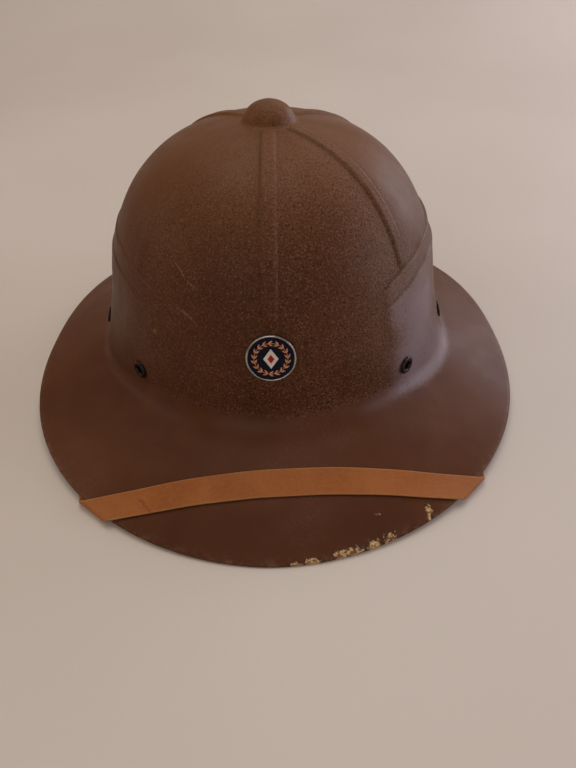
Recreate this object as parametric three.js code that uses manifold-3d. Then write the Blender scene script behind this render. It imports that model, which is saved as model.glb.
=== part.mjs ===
// Pressed-fibre sun helmet of the pith helmet type, with eyelets, a round front badge
// and a leather chin strap laid across the front of the brim.
// Millimetres, +Z up, the front of the hat towards -Y, the origin on the surface that it rests on.

import * as THREE from 'three';
import { mergeVertices } from 'three/addons/utils/BufferGeometryUtils.js';
import Module from 'manifold-3d';

const wasm = await Module();
wasm.setup();

// Crown
const crownWidth = 184.2;
const crownLength = 206.4;
const crownHeight = 137.4;
const crownBaseHeight = 27.2;
const crownRoundness = 2.783;
const crownFullness = 2.531;
const crownTaper = 0.018;

// Foot of the crown, where the wall meets the brim
const footFrontHeight = 28.3;
const footSideHeight = 21.3;
const footFrontAzimuth = 15;
const footSideAzimuth = 60;

// Fillet between the crown and the brim, wide at the front and rear and tight at the sides
const frontFilletUp = 10;
const frontFilletOut = 13;
const sideFilletUp = 5;
const sideFilletOut = 5.5;
const wideFilletAzimuth = 28;
const tightFilletAzimuth = 58;

// The sides swell out towards the foot, as under a wound scarf
const sideSwell = 8.6;
const sideSwellHeight = 45.5;
const sideSwellPower = 1.4;
const swellStartAzimuth = 34;
const swellFullAzimuth = 72;

// Brim
const frontBrim = 61.3;
const sideBrim = 47.9;
const rimFrontHeight = 1.25;
const rimSideHeight = 7.8;
const rimDipPower = 2;
const rimSideRoundness = 1.91;
const rimFrontRoundness = 2.313;
const rimRounding = 0.8;

// Wall of the pressed fibre
const wallThickness = 2;

// Knob on top of the crown
const knobDiameter = 27.2;
const knobHeight = 9.4;
const knobShoulder = 2.2;
const knobFall = 0.62;

// Moulded ribs, from the knob down
const ribWidth = 6.4;
const ribHeight = 1;
const ribSlope = 1.1;
const ribAzimuths = [0, 45, 135, 180, 225, 315];
const ribStartRadius = 14.5;
const ribFade = 4;
const ribFadeAtPleat = 0.5;
const frontRibEndHeight = 79;

// Moulded pleats on each side: the height of each lower fold's upper edge
// as a share of the crown's height, by azimuth from the front
const pleatHeight = 1.2;
const pleatTipAzimuth = 29;
const pleatFullAzimuth = 34;
const pleats = [
  {
    fall: 15,
    edge: [
      { azimuth: 30, share: 0.61 },
      { azimuth: 37, share: 0.636 },
      { azimuth: 44, share: 0.656 },
      { azimuth: 64, share: 0.676 },
      { azimuth: 90, share: 0.672 },
    ],
  },
  {
    fall: 32,
    edge: [
      { azimuth: 30, share: 0.548 },
      { azimuth: 37, share: 0.571 },
      { azimuth: 46, share: 0.602 },
      { azimuth: 64, share: 0.6 },
      { azimuth: 90, share: 0.584 },
    ],
  },
];

// Eyelets
const eyeletFlangeDiameter = 9.6;
const eyeletHoleDiameter = 4.4;
const eyeletBarrelWall = 0.8;
const eyeletFlangeThickness = 1.2;
const eyeletInnerFlangeDiameter = 8.6;
const eyeletInnerFlangeThickness = 0.9;
const eyeletLip = 0.35;
const eyeletSides = 14;
const eyeletAboveFoot = 13.5;
const eyelets = [
  { name: 'eyelet_front_right', azimuth: 44 },
  { name: 'eyelet_side_right', azimuth: 81 },
  { name: 'eyelet_rear_right', azimuth: 136 },
  { name: 'eyelet_rear_left', azimuth: 224 },
  { name: 'eyelet_side_left', azimuth: 279 },
  { name: 'eyelet_front_left', azimuth: 316 },
];

// Badge
const badgeDiameter = 22.5;
const badgeThickness = 1.9;
const badgeRimWidth = 0.8;
const badgeRecess = 1.2;
const badgeEnamelThickness = 0.3;
const badgeOrnamentThickness = 0.3;
const badgeRounding = 0.2;
const badgeSides = 28;
const badgePostDiameter = 2.4;
const badgePostHeadDiameter = 5.5;
const badgePostHeadThickness = 1;
const badgeAboveFoot = 37.7;
const wreathDiameter = 17.6;
const wreathBand = 2.6;
const wreathLeaves = 18;
const leafDepth = 1.2;
const lozengeWidth = 6.8;
const lozengeHeight = 9.8;

// Chin strap
const strapWidth = 12;
const strapThickness = 1;
const strapGap = 0.4;
const strapPlaceOnBrim = 0.447;
const strapSkew = 2.9;
const strapHang = 0.2;
const strapSlack = 0.8;
const strapLead = 8;
const strapTail = 8;
const strapStops = [0.14, 0.3, 0.46, 0.62];
const strapSteps = 12;
const foldSteps = 7;
const stepsPerStop = 3;
const strapEnd = [
  { reach: 0.5, narrow: 1 },
  { reach: 0.85, narrow: 0.8 },
  { reach: 1, narrow: 0.45 },
];

// Hidden posts that hold the strap's ends
const postDiameter = 4;
const postFlangeDiameter = 11;
const postFlangeThickness = 0.8;
const postHeadDiameter = 8.4;
const postHeadThickness = 1.2;
const postRounding = 0.4;
const postSides = 16;
const postAzimuth = 104;
const postAboveFoot = 5.4;

// Space kept between neighbouring pieces
const clearance = 0.3;
// Most that the flat facets of the wall's inner side stand inside its true surface
const facetSag = 0.25;
// Points nearer each other than this are one point
const sameSpot = 1e-4;

const halfCrownWidth = crownWidth / 2;
const halfCrownLength = crownLength / 2;
const halfBrimWidth = halfCrownWidth + sideBrim;
const halfBrimLength = halfCrownLength + frontBrim;
const degree = Math.PI / 180;
const halvings = 40;

const crownPaint = { color: 0x4a3022, roughness: 0.62, metalness: 0 };
const leather = { color: 0x9a5a2c, roughness: 0.6, metalness: 0 };
const darkMetal = { color: 0x17130f, roughness: 0.35, metalness: 0.8 };
const silver = { color: 0xb9bcc0, roughness: 0.3, metalness: 1 };
const navyEnamel = { color: 0x0b1230, roughness: 0.2, metalness: 0 };
const copperEnamel = { color: 0xb5582e, roughness: 0.3, metalness: 0.2 };
const creamEnamel = { color: 0xe6ddcb, roughness: 0.3, metalness: 0 };
const steel = { color: 0x8c8d8f, roughness: 0.4, metalness: 1 };

function smooth(low, high, value) {
  const share = THREE.MathUtils.clamp((value - low) / (high - low), 0, 1);
  return share * share * (3 - 2 * share);
}

function rounded(cosine, power) {
  return Math.sign(cosine) * Math.abs(cosine) ** (2 / power);
}

// A ray leaves the axis at the angle whose tangent is (width / length) tan(turn).
// Rays are named by their turn, which runs from 0 at the front towards +X.
function turnOfAzimuth(azimuth) {
  const angle = azimuth * degree;
  return Math.atan2(Math.sin(angle) / halfCrownWidth, Math.cos(angle) / halfCrownLength);
}

function azimuthOfTurn(turn) {
  return Math.atan2(halfCrownWidth * Math.sin(turn), halfCrownLength * Math.cos(turn)) / degree;
}

// The hat is the same on its four quarters: the azimuth from the nearer end, 0 to 90.
function quarterAzimuth(turn) {
  return 90 - Math.abs(90 - Math.abs(azimuthOfTurn(turn)));
}

function footHeight(turn) {
  const front = 1 - smooth(footFrontAzimuth, footSideAzimuth, quarterAzimuth(turn));
  return footSideHeight + (footFrontHeight - footSideHeight) * front;
}

// Crown outline at a height: share of the half width and half length
function crownShare(height) {
  const rise = THREE.MathUtils.clamp((height - crownBaseHeight) / (crownHeight - crownBaseHeight), 0, 1);
  return (1 - rise ** crownRoundness) ** (1 / crownFullness) * (1 - crownTaper * rise);
}

function wallPoint(turn, height) {
  const share = crownShare(height);
  const side = smooth(swellStartAzimuth, swellFullAzimuth, quarterAzimuth(turn));
  const below = THREE.MathUtils.clamp((footSideHeight + sideSwellHeight - height) / sideSwellHeight, 0, 1);
  const swell = sideSwell * side * below ** sideSwellPower;
  const out = new THREE.Vector2(Math.sin(turn) / halfCrownWidth, -Math.cos(turn) / halfCrownLength).normalize();
  return new THREE.Vector3(
    halfCrownWidth * share * Math.sin(turn) + swell * out.x,
    -halfCrownLength * share * Math.cos(turn) + swell * out.y,
    height,
  );
}

function rimPoint(turn) {
  const dip = Math.abs(Math.cos(turn)) ** rimDipPower;
  return new THREE.Vector3(
    halfBrimWidth * rounded(Math.sin(turn), rimSideRoundness),
    -halfBrimLength * rounded(Math.cos(turn), rimFrontRoundness),
    rimSideHeight + (rimFrontHeight - rimSideHeight) * dip,
  );
}

// Brim: straight from the crown's foot, share 0, to the rim, share 1
function brimPoint(turn, share) {
  return wallPoint(turn, footHeight(turn)).lerp(rimPoint(turn), share);
}

// Fillet from the wall, share 0, to the brim, share 1
function filletPoint(turn, share) {
  const wide = 1 - smooth(wideFilletAzimuth, tightFilletAzimuth, quarterAzimuth(turn));
  const up = sideFilletUp + (frontFilletUp - sideFilletUp) * wide;
  const out = sideFilletOut + (frontFilletOut - sideFilletOut) * wide;
  const foot = footHeight(turn);
  const start = wallPoint(turn, foot + up);
  const corner = wallPoint(turn, foot);
  const end = brimPoint(turn, out / corner.distanceTo(rimPoint(turn)));
  return new THREE.QuadraticBezierCurve3(start, corner, end).getPoint(share);
}

// Top of the crown with the knob, at a distance from the axis
function topPoint(turn, radius) {
  const reach = Math.hypot(halfCrownWidth * Math.sin(turn), halfCrownLength * Math.cos(turn));
  const share = radius / reach;
  let rise = 1;
  for (let pass = 0; pass < 4; pass += 1) {
    rise = (1 - Math.min(share / (1 - crownTaper * rise), 1) ** crownFullness) ** (1 / crownRoundness);
  }
  const knobShare = Math.min(radius / (knobDiameter / 2), 1);
  const knob = knobHeight * (1 - knobShare ** knobShoulder) ** knobFall;
  return new THREE.Vector3(
    halfCrownWidth * share * Math.sin(turn),
    -halfCrownLength * share * Math.cos(turn),
    crownBaseHeight + (crownHeight - crownBaseHeight) * rise + knob,
  );
}

function tableValue(rows, azimuth) {
  const last = rows.length - 1;
  if (azimuth <= rows[0].azimuth) return rows[0].share;
  if (azimuth >= rows[last].azimuth) return rows[last].share;
  const next = rows.findIndex((row) => row.azimuth > azimuth);
  const before = rows[next - 1];
  const part = smooth(before.azimuth, rows[next].azimuth, azimuth);
  return before.share + (rows[next].share - before.share) * part;
}

function pleatEdgeHeight(pleat, turn) {
  return crownHeight * tableValue(pleat.edge, quarterAzimuth(turn));
}

function pleatRelief(turn, height) {
  const strength = pleatHeight * smooth(pleatTipAzimuth, pleatFullAzimuth, quarterAzimuth(turn));
  let relief = 0;
  for (const pleat of pleats) {
    const below = pleatEdgeHeight(pleat, turn) - height;
    if (below > 0) relief += strength * Math.max(1 - below / pleat.fall, 0);
  }
  return relief;
}

function ribRelief(rib, offset, radius, height) {
  const across = 1 - smooth(ribWidth / 2 - ribSlope, ribWidth / 2, offset);
  const alongTop = smooth(ribStartRadius, ribStartRadius + ribFade, radius);
  const atEnds = rib % 180 === 0;
  const end = atEnds ? frontRibEndHeight : pleatEdgeHeight(pleats[0], turnOfAzimuth(rib));
  const alongFoot = smooth(end, end + (atEnds ? ribFade : ribFadeAtPleat), height);
  return ribHeight * across * alongTop * alongFoot;
}

// Columns of the shell's grid: the edges of each rib, and even steps between two ribs.
// offset is the distance from the rib's middle line, share the place between two ribs.
const columnStep = 7.5;
const widestRibShare = 0.3;
const columns = [];
ribAzimuths.forEach((rib, index) => {
  const next = ribAzimuths[(index + 1) % ribAzimuths.length] || 360;
  for (const offset of [-ribWidth / 2, -ribWidth / 2 + ribSlope, ribWidth / 2 - ribSlope, ribWidth / 2]) {
    columns.push({ rib, offset });
  }
  const count = Math.round((next - rib) / columnStep) - 1;
  for (let step = 1; step <= count; step += 1) {
    columns.push({ rib, next, share: step / (count + 1) });
  }
});

function columnTurn(column, radius) {
  const narrowed = (share) => THREE.MathUtils.clamp(share, -widestRibShare, widestRibShare);
  const edge = (offset) => Math.asin(narrowed(offset / radius)) / degree;
  if (column.share === undefined) return turnOfAzimuth(column.rib + edge(column.offset));
  const from = column.rib + edge(ribWidth / 2);
  const to = column.next - edge(ribWidth / 2);
  return turnOfAzimuth(from + (to - from) * column.share);
}

// Where the rows of the shell's grid lie: shares of the knob's radius, of the crown's
// height, of the way from one pleat to the next, of the wall from the lower pleat to the
// foot, of the fillet and of the brim.
const knobRows = [0.35, 0.66, 0.87, 0.97, 1.03, 1.2, 1.5, 2.1, 3];
const crownRows = [0.932, 0.88, 0.82, 0.755, 0.7];
const betweenPleats = [0.5];
const lowerWallRows = [0.2, 0.4, 0.58, 0.74];
const filletRows = [0, 0.25, 0.5, 0.75, 1];
const brimRows = [0.4, 0.64, 0.86];
const pleatEdgeStep = 0.5;

// The rows run from the knob down to the rim. Each gives a point of the plain surface
// for a turn, and its radius sets how wide the ribs' columns stand.
const rows = [];
for (const share of knobRows) {
  const radius = share * knobDiameter / 2;
  rows.push({ radius, point: (turn) => topPoint(turn, radius) });
}
for (const share of crownRows) {
  const height = crownHeight * share;
  rows.push({ radius: halfCrownWidth * crownShare(height), point: (turn) => wallPoint(turn, height) });
}
for (const [index, pleat] of pleats.entries()) {
  for (const step of [pleatEdgeStep, -pleatEdgeStep]) {
    rows.push({
      radius: halfCrownWidth,
      point: (turn) => wallPoint(turn, pleatEdgeHeight(pleat, turn) + step),
    });
  }
  const below = (turn) => (pleats[index + 1] ? pleatEdgeHeight(pleats[index + 1], turn) : footHeight(turn));
  for (const share of pleats[index + 1] ? betweenPleats : lowerWallRows) {
    rows.push({
      radius: halfCrownWidth,
      point: (turn) => {
        const edge = pleatEdgeHeight(pleat, turn);
        return wallPoint(turn, edge + (below(turn) - edge) * share);
      },
    });
  }
}
for (const share of filletRows) {
  rows.push({ radius: halfCrownWidth, point: (turn) => filletPoint(turn, share) });
}
for (const share of brimRows) {
  rows.push({ radius: halfCrownWidth, point: (turn) => brimPoint(turn, share) });
}
rows.push({
  radius: halfCrownWidth,
  point: (turn) => brimPoint(turn, 1 - rimRounding / brimPoint(turn, 0).distanceTo(rimPoint(turn))),
});
rows.push({ radius: halfCrownWidth, point: rimPoint });

// The inner side is plain and takes every second row
const innerRows = [...rows.keys()].filter((r) => r % 2 === 0 && r < rows.length - 2);

function makeShell() {
  const plain = rows.map((row) => columns.map((column) => row.point(columnTurn(column, row.radius))));
  const count = columns.length;
  const normals = plain.map((line, r) => line.map((point, c) => {
    const around = line[(c + 1) % count].clone().sub(line[(c + count - 1) % count]);
    const above = plain[Math.max(r - 1, 0)][c];
    const under = plain[Math.min(r + 1, plain.length - 1)][c];
    return around.cross(above.clone().sub(under)).normalize();
  }));
  const last = rows.length - 1;
  const lines = [];
  for (let r = 0; r < last; r += 1) {
    lines.push(plain[r].map((point, c) => {
      const column = columns[c];
      const turn = columnTurn(column, rows[r].radius);
      let relief = pleatRelief(turn, point.z);
      const radius = Math.hypot(point.x, point.y);
      if (column.share === undefined) {
        relief = Math.max(relief, ribRelief(column.rib, Math.abs(column.offset), radius, point.z));
      }
      return point.clone().addScaledVector(normals[r][c], relief);
    }));
  }
  lines.push(plain[last].map((point, c) => point.clone().addScaledVector(normals[last][c], -wallThickness / 2)));
  lines.push(plain[last - 1].map((point, c) => point.clone().addScaledVector(normals[last][c], -wallThickness)));
  for (const r of [...innerRows].reverse()) {
    lines.push(plain[r].map((point, c) => point.clone().addScaledVector(normals[r][c], -wallThickness)));
  }
  const top = topPoint(0, 0);
  return closedGrid(lines, top, top.clone().setZ(top.z - wallThickness));
}

// Closed skin through rings of points, with one point at each end
function closedGrid(lines, firstPole, lastPole) {
  const count = lines[0].length;
  const positions = [firstPole, ...lines.flat(), lastPole].flatMap((point) => [point.x, point.y, point.z]);
  const index = [];
  const at = (line, c) => 1 + line * count + (c % count);
  const end = 1 + lines.length * count;
  for (let c = 0; c < count; c += 1) {
    index.push(0, at(0, c), at(0, c + 1));
    index.push(end, at(lines.length - 1, c + 1), at(lines.length - 1, c));
  }
  for (let line = 0; line < lines.length - 1; line += 1) {
    for (let c = 0; c < count; c += 1) {
      index.push(at(line, c), at(line + 1, c), at(line + 1, c + 1));
      index.push(at(line, c), at(line + 1, c + 1), at(line, c + 1));
    }
  }
  const geometry = new THREE.BufferGeometry();
  geometry.setAttribute('position', new THREE.Float32BufferAttribute(positions, 3));
  geometry.setIndex(index);
  return geometry;
}

// Solid for joining and cutting, from a closed geometry
function toSolid(geometry, matrix = new THREE.Matrix4()) {
  const bare = geometry.clone().applyMatrix4(matrix);
  bare.deleteAttribute('normal');
  bare.deleteAttribute('uv');
  const merged = mergeVertices(bare, sameSpot);
  const vertProperties = new Float32Array(merged.attributes.position.array);
  const triVerts = new Uint32Array(merged.index.array);
  const kept = [];
  for (let i = 0; i < triVerts.length; i += 3) {
    const [a, b, c] = triVerts.slice(i, i + 3);
    if (a !== b && b !== c && c !== a) kept.push(a, b, c);
  }
  return new wasm.Manifold(new wasm.Mesh({ numProp: 3, vertProperties, triVerts: new Uint32Array(kept) }));
}

function toGeometry(solid) {
  const mesh = solid.getMesh();
  const geometry = new THREE.BufferGeometry();
  geometry.setAttribute('position', new THREE.Float32BufferAttribute(mesh.vertProperties, 3));
  geometry.setIndex([...mesh.triVerts]);
  return geometry;
}

function lathe(profile, sides) {
  const points = profile.map(([radius, height]) => new THREE.Vector2(radius, height));
  return new THREE.LatheGeometry(points, sides);
}

// Frame on the outer wall: y out of the wall, x along it towards the rear of the right side, z up it
function wallFrame(turn, height) {
  const turnStep = 0.002;
  const heightStep = 0.5;
  const point = wallPoint(turn, height);
  const along = wallPoint(turn + turnStep, height).sub(wallPoint(turn - turnStep, height)).normalize();
  const up = wallPoint(turn, height + heightStep).sub(wallPoint(turn, height - heightStep)).normalize();
  const out = along.clone().cross(up).normalize();
  const level = out.clone().cross(up).negate().normalize();
  return { point, out, up, along: level };
}

function frameMatrix(frame, depth = 0) {
  const matrix = new THREE.Matrix4().makeBasis(frame.along.clone().negate(), frame.out, frame.up);
  matrix.setPosition(frame.point.clone().addScaledVector(frame.out, depth));
  return matrix;
}

const parts = new THREE.Group();

function addPart(name, geometry, look, matrix) {
  const mesh = new THREE.Mesh(geometry, new THREE.MeshStandardMaterial(look));
  mesh.name = name;
  if (matrix) {
    matrix.decompose(mesh.position, mesh.quaternion, mesh.scale);
  }
  parts.add(mesh);
}

// Eyelet: a rolled flange outside, a barrel through the wall and a turned edge inside
const barrelRadius = eyeletHoleDiameter / 2 + eyeletBarrelWall;
function eyeletGeometry() {
  const hole = eyeletHoleDiameter / 2;
  const flange = eyeletFlangeDiameter / 2;
  const crest = clearance + eyeletFlangeThickness;
  const inner = -wallThickness - clearance - facetSag;
  const innerFlange = eyeletInnerFlangeDiameter / 2;
  const end = inner - eyeletInnerFlangeThickness;
  return lathe([
    [hole, inner - eyeletInnerFlangeThickness / 2],
    [hole, clearance + eyeletLip],
    [hole + 2 * eyeletLip, crest],
    [flange - 3 * eyeletLip, crest - eyeletLip / 2],
    [flange, clearance + eyeletLip],
    [flange - eyeletLip, clearance],
    [barrelRadius, clearance],
    [barrelRadius, inner],
    [innerFlange, inner],
    [innerFlange - eyeletLip, end],
    [hole, inner - eyeletInnerFlangeThickness / 2],
  ].reverse(), eyeletSides);
}
const eyeletFrames = eyelets.map((eyelet) => {
  const turn = turnOfAzimuth(eyelet.azimuth);
  return wallFrame(turn, footHeight(turn) + eyeletAboveFoot);
});

// Badge: a round plate with a raised rim, and a post through the wall with a closed head
const badgeFrame = wallFrame(0, footFrontHeight + badgeAboveFoot);
const badgeBack = clearance;
function badgeBodyGeometry() {
  const radius = badgeDiameter / 2;
  const front = badgeBack + badgeThickness;
  const floor = front - badgeRecess;
  const post = badgePostDiameter / 2;
  const head = badgePostHeadDiameter / 2;
  const headTop = -wallThickness - clearance - facetSag;
  return lathe([
    [0, floor],
    [radius - badgeRimWidth, floor],
    [radius - badgeRimWidth, front - badgeRounding],
    [radius - badgeRimWidth / 2, front],
    [radius - badgeRounding, front - badgeRounding],
    [radius, front - 2 * badgeRounding],
    [radius - badgeRounding, badgeBack],
    [post, badgeBack],
    [post, headTop],
    [head, headTop],
    [head, headTop - badgePostHeadThickness],
    [0, headTop - badgePostHeadThickness],
  ].reverse(), badgeSides);
}
const enamelBack = badgeBack + badgeThickness - badgeRecess + clearance;
const enamelFront = enamelBack + badgeEnamelThickness;

// Flat ornament on the badge, pushed out of the enamel's face
function ornament(shape) {
  const geometry = new THREE.ExtrudeGeometry(shape, {
    depth: badgeOrnamentThickness,
    bevelEnabled: false,
    curveSegments: 4,
  });
  geometry.rotateX(-Math.PI / 2);
  geometry.translate(0, enamelFront + clearance, 0);
  return geometry;
}

// Ring of leaves: the outer edge swells and draws in once for each leaf
function wreathShape() {
  const shape = new THREE.Shape();
  const steps = wreathLeaves * 2;
  for (let step = 0; step < steps; step += 1) {
    const angle = step / steps * 2 * Math.PI;
    const radius = wreathDiameter / 2 - (step % 2 ? leafDepth : 0);
    const point = [radius * Math.cos(angle), radius * Math.sin(angle)];
    if (step === 0) shape.moveTo(...point);
    else shape.lineTo(...point);
  }
  shape.closePath();
  const hole = new THREE.Path();
  for (let step = 0; step < wreathLeaves; step += 1) {
    const angle = -step / wreathLeaves * 2 * Math.PI;
    const radius = wreathDiameter / 2 - wreathBand;
    const point = [radius * Math.cos(angle), radius * Math.sin(angle)];
    if (step === 0) hole.moveTo(...point);
    else hole.lineTo(...point);
  }
  hole.closePath();
  shape.holes.push(hole);
  return shape;
}

function lozengeShape() {
  const shape = new THREE.Shape();
  shape.moveTo(lozengeWidth / 2, 0);
  shape.lineTo(0, lozengeHeight / 2);
  shape.lineTo(-lozengeWidth / 2, 0);
  shape.lineTo(0, -lozengeHeight / 2);
  shape.closePath();
  return shape;
}

// Chin strap. It lies across the front of the brim, folds round the rim at each side,
// and runs back under the brim to a post inside the crown.
const strapAcross = halfCrownLength + frontBrim * strapPlaceOnBrim;

// Point of the brim above a place in plan, on the right front quarter
function brimAt(x, y) {
  let low = 0;
  let high = Math.PI / 2;
  let share = 0;
  for (let pass = 0; pass < halvings; pass += 1) {
    const turn = (low + high) / 2;
    const foot = brimPoint(turn, 0);
    const rim = brimPoint(turn, 1);
    share = (y - foot.y) / (rim.y - foot.y);
    if (foot.x + (rim.x - foot.x) * share < x) low = turn;
    else high = turn;
  }
  return brimPoint((low + high) / 2, share);
}

function brimNormal(x, y) {
  const step = 1;
  const side = brimAt(x + step, y).sub(brimAt(Math.max(x - step, 0), y));
  const back = brimAt(x, y + step).sub(brimAt(x, y - step));
  return side.cross(back).normalize();
}

// The strap lies a little askew. Each half is worked out on the right, with a slope that
// takes its line towards the rear on the right half and towards the front on the left one.
function edgeLine(slope, offset) {
  const middle = offset * Math.hypot(1, slope) - strapAcross;
  return (x) => middle + slope * x;
}

function foldFrame(slope) {
  const line = edgeLine(slope, 0);
  let low = 0;
  let high = Math.PI / 2;
  for (let pass = 0; pass < halvings; pass += 1) {
    const turn = (low + high) / 2;
    const point = rimPoint(turn);
    if (point.y < line(point.x)) low = turn;
    else high = turn;
  }
  const turn = (low + high) / 2;
  const turnStep = 0.01;
  const point = rimPoint(turn);
  const along = rimPoint(turn + turnStep).sub(rimPoint(turn - turnStep)).normalize();
  const outward = point.clone().sub(brimPoint(turn, 0));
  outward.addScaledVector(along, -outward.dot(along)).normalize();
  const up = outward.clone().cross(along);
  if (up.z < 0) up.negate();
  return { point, along, outward, up };
}

const foldRadius = wallThickness / 2 + strapGap + strapThickness / 2;

// Distance along the rim's tangent, moved outwards, at which it crosses an edge of the strap
function crossing(fold, past, edge) {
  const line = fold.point.clone().addScaledVector(fold.outward, past);
  const slope = edge(1) - edge(0);
  return { line, slide: (edge(line.x) - line.y) / (fold.along.y - slope * fold.along.x) };
}

// Edge point of the strap and the way its outer face looks, at a distance past the rim
function foldedEdge(fold, past, edge) {
  const { slide } = crossing(fold, past, edge);
  const turned = past / foldRadius;
  const face = fold.up.clone().multiplyScalar(Math.cos(turned)).addScaledVector(fold.outward, Math.sin(turned));
  const hang = strapHang * (1 - Math.cos(turned)) / 2;
  const point = fold.point.clone()
    .addScaledVector(fold.up, -wallThickness / 2 - hang)
    .addScaledVector(fold.outward, -rimRounding / 2)
    .addScaledVector(face, foldRadius)
    .addScaledVector(fold.along, slide);
  return { point, face };
}

function flatEdge(x, y) {
  const face = brimNormal(x, y);
  return { point: brimAt(x, y).addScaledVector(face, strapGap + strapThickness / 2), face };
}

function strapStations(fold, slope) {
  const edges = [edgeLine(slope, strapWidth / 2), edgeLine(slope, -strapWidth / 2)];
  const foldStarts = edges.map((edge) => {
    const { line, slide } = crossing(fold, -rimRounding / 2, edge);
    return line.x + fold.along.x * slide;
  });
  const stations = [];
  for (let step = 0; step <= strapSteps; step += 1) {
    stations.push(edges.map((edge, index) => {
      const x = foldStarts[index] * step / strapSteps;
      return flatEdge(x, edge(x));
    }));
  }
  for (let step = 1; step <= foldSteps; step += 1) {
    stations.push(edges.map((edge) => foldedEdge(fold, Math.PI * foldRadius * step / foldSteps, edge)));
  }
  return stations.map(([back, front]) => ({
    back: back.point,
    front: front.point,
    backFace: back.face,
    frontFace: front.face,
  }));
}

// Run from the fold to the post: close under the brim, then up the inside of the crown
function strapRun(fold, slope, lastStation) {
  const half = strapWidth / 2;
  const turn = turnOfAzimuth(postAzimuth);
  const post = wallFrame(turn, footHeight(turn) + postAboveFoot);
  const inward = post.out.clone().negate();
  const depth = wallThickness + facetSag + clearance + postFlangeThickness + clearance + strapThickness / 2;
  const hold = post.point.clone().addScaledVector(inward, depth);
  const rearward = post.along.clone();
  if (rearward.y < 0) rearward.negate();
  // The strip's line mirrored about the rim gives the way that it leaves the fold
  const strip = new THREE.Vector3(1, slope, 0).normalize();
  const leave = fold.outward.clone().multiplyScalar(-fold.outward.dot(strip))
    .addScaledVector(fold.along, fold.along.dot(strip))
    .normalize();
  const down = fold.up.clone().negate();
  const start = lastStation.back.clone().add(lastStation.front).multiplyScalar(0.5);
  start.addScaledVector(leave, strapLead).addScaledVector(down, strapSlack / 4);
  const flat = hold.clone().addScaledVector(rearward, -half);
  const way = [{ point: start, face: down }];
  for (const stop of strapStops) {
    const spot = start.clone().lerp(flat, stop);
    const under = brimNormal(spot.x, spot.y).negate();
    const drop = wallThickness + strapGap + strapThickness / 2 + strapSlack;
    way.push({ point: brimAt(spot.x, spot.y).addScaledVector(under, drop), face: under });
  }
  way.push({ point: flat, face: inward });
  way.push({ point: hold, face: inward });
  const curve = new THREE.CatmullRomCurve3(way.map((stop) => stop.point));
  const stations = [];
  const push = (centre, tangent, face, halfWidth) => {
    const side = tangent.clone().cross(face).normalize();
    const square = side.clone().cross(tangent).normalize();
    stations.push({
      back: centre.clone().addScaledVector(side, -halfWidth),
      front: centre.clone().addScaledVector(side, halfWidth),
      backFace: square,
      frontFace: square,
    });
  };
  const steps = (way.length - 1) * stepsPerStop;
  for (let step = 0; step <= steps; step += 1) {
    const stop = Math.min(Math.floor(step / stepsPerStop), way.length - 2);
    const face = way[stop].face.clone().lerp(way[stop + 1].face, step / stepsPerStop - stop).normalize();
    push(curve.getPoint(step / steps), curve.getTangent(step / steps), face, half);
  }
  for (const { reach, narrow } of strapEnd) {
    push(hold.clone().addScaledVector(rearward, strapTail * reach), rearward, inward, half * narrow);
  }
  return { stations, post };
}

function strapHalf(slope) {
  const fold = foldFrame(slope);
  const top = strapStations(fold, slope);
  const run = strapRun(fold, slope, top[top.length - 1]);
  return { stations: [...top, ...run.stations], post: run.post };
}

function strapGeometry(stations) {
  const half = strapThickness / 2;
  const corners = stations.flatMap((station) => [
    station.back.clone().addScaledVector(station.backFace, half),
    station.front.clone().addScaledVector(station.frontFace, half),
    station.front.clone().addScaledVector(station.frontFace, -half),
    station.back.clone().addScaledVector(station.backFace, -half),
  ]);
  const index = [0, 2, 1, 0, 3, 2];
  for (let row = 0; row < stations.length - 1; row += 1) {
    for (let side = 0; side < 4; side += 1) {
      const a = row * 4 + side;
      const b = row * 4 + (side + 1) % 4;
      index.push(a, b + 4, a + 4, a, b, b + 4);
    }
  }
  const end = (stations.length - 1) * 4;
  index.push(end, end + 1, end + 2, end, end + 2, end + 3);
  const geometry = new THREE.BufferGeometry();
  geometry.setAttribute('position', new THREE.Float32BufferAttribute(corners.flatMap((p) => [p.x, p.y, p.z]), 3));
  geometry.setIndex(index);
  return geometry;
}

function mirrored(station) {
  const flip = (vector) => new THREE.Vector3(-vector.x, vector.y, vector.z);
  return {
    back: flip(station.back),
    front: flip(station.front),
    backFace: flip(station.backFace),
    frontFace: flip(station.frontFace),
  };
}

function mirroredFrame(frame) {
  const flip = (vector) => new THREE.Vector3(-vector.x, vector.y, vector.z);
  return { point: flip(frame.point), out: flip(frame.out), up: flip(frame.up), along: flip(frame.along).negate() };
}

// Post: a flange on the wall, a shank through the strap and a head inside it
function postGeometry() {
  const base = -wallThickness - clearance - facetSag;
  const flangeFace = base - postFlangeThickness;
  const headBack = flangeFace - 2 * clearance - strapThickness;
  return lathe([
    [0, base],
    [postFlangeDiameter / 2, base],
    [postFlangeDiameter / 2, flangeFace],
    [postDiameter / 2, flangeFace],
    [postDiameter / 2, headBack],
    [postHeadDiameter / 2, headBack],
    [postHeadDiameter / 2 - postRounding, headBack - postHeadThickness],
    [0, headBack - postHeadThickness],
  ].reverse(), postSides);
}

const strapSlope = Math.tan(strapSkew * degree);
const rightHalf = strapHalf(strapSlope);
const leftHalf = strapHalf(-strapSlope);
const posts = [
  { name: 'strap_post_right', frame: rightHalf.post },
  { name: 'strap_post_left', frame: mirroredFrame(leftHalf.post) },
];

const drillLength = 16;
function drill(radius) {
  return new THREE.CylinderGeometry(radius, radius, drillLength, eyeletSides);
}

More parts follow.
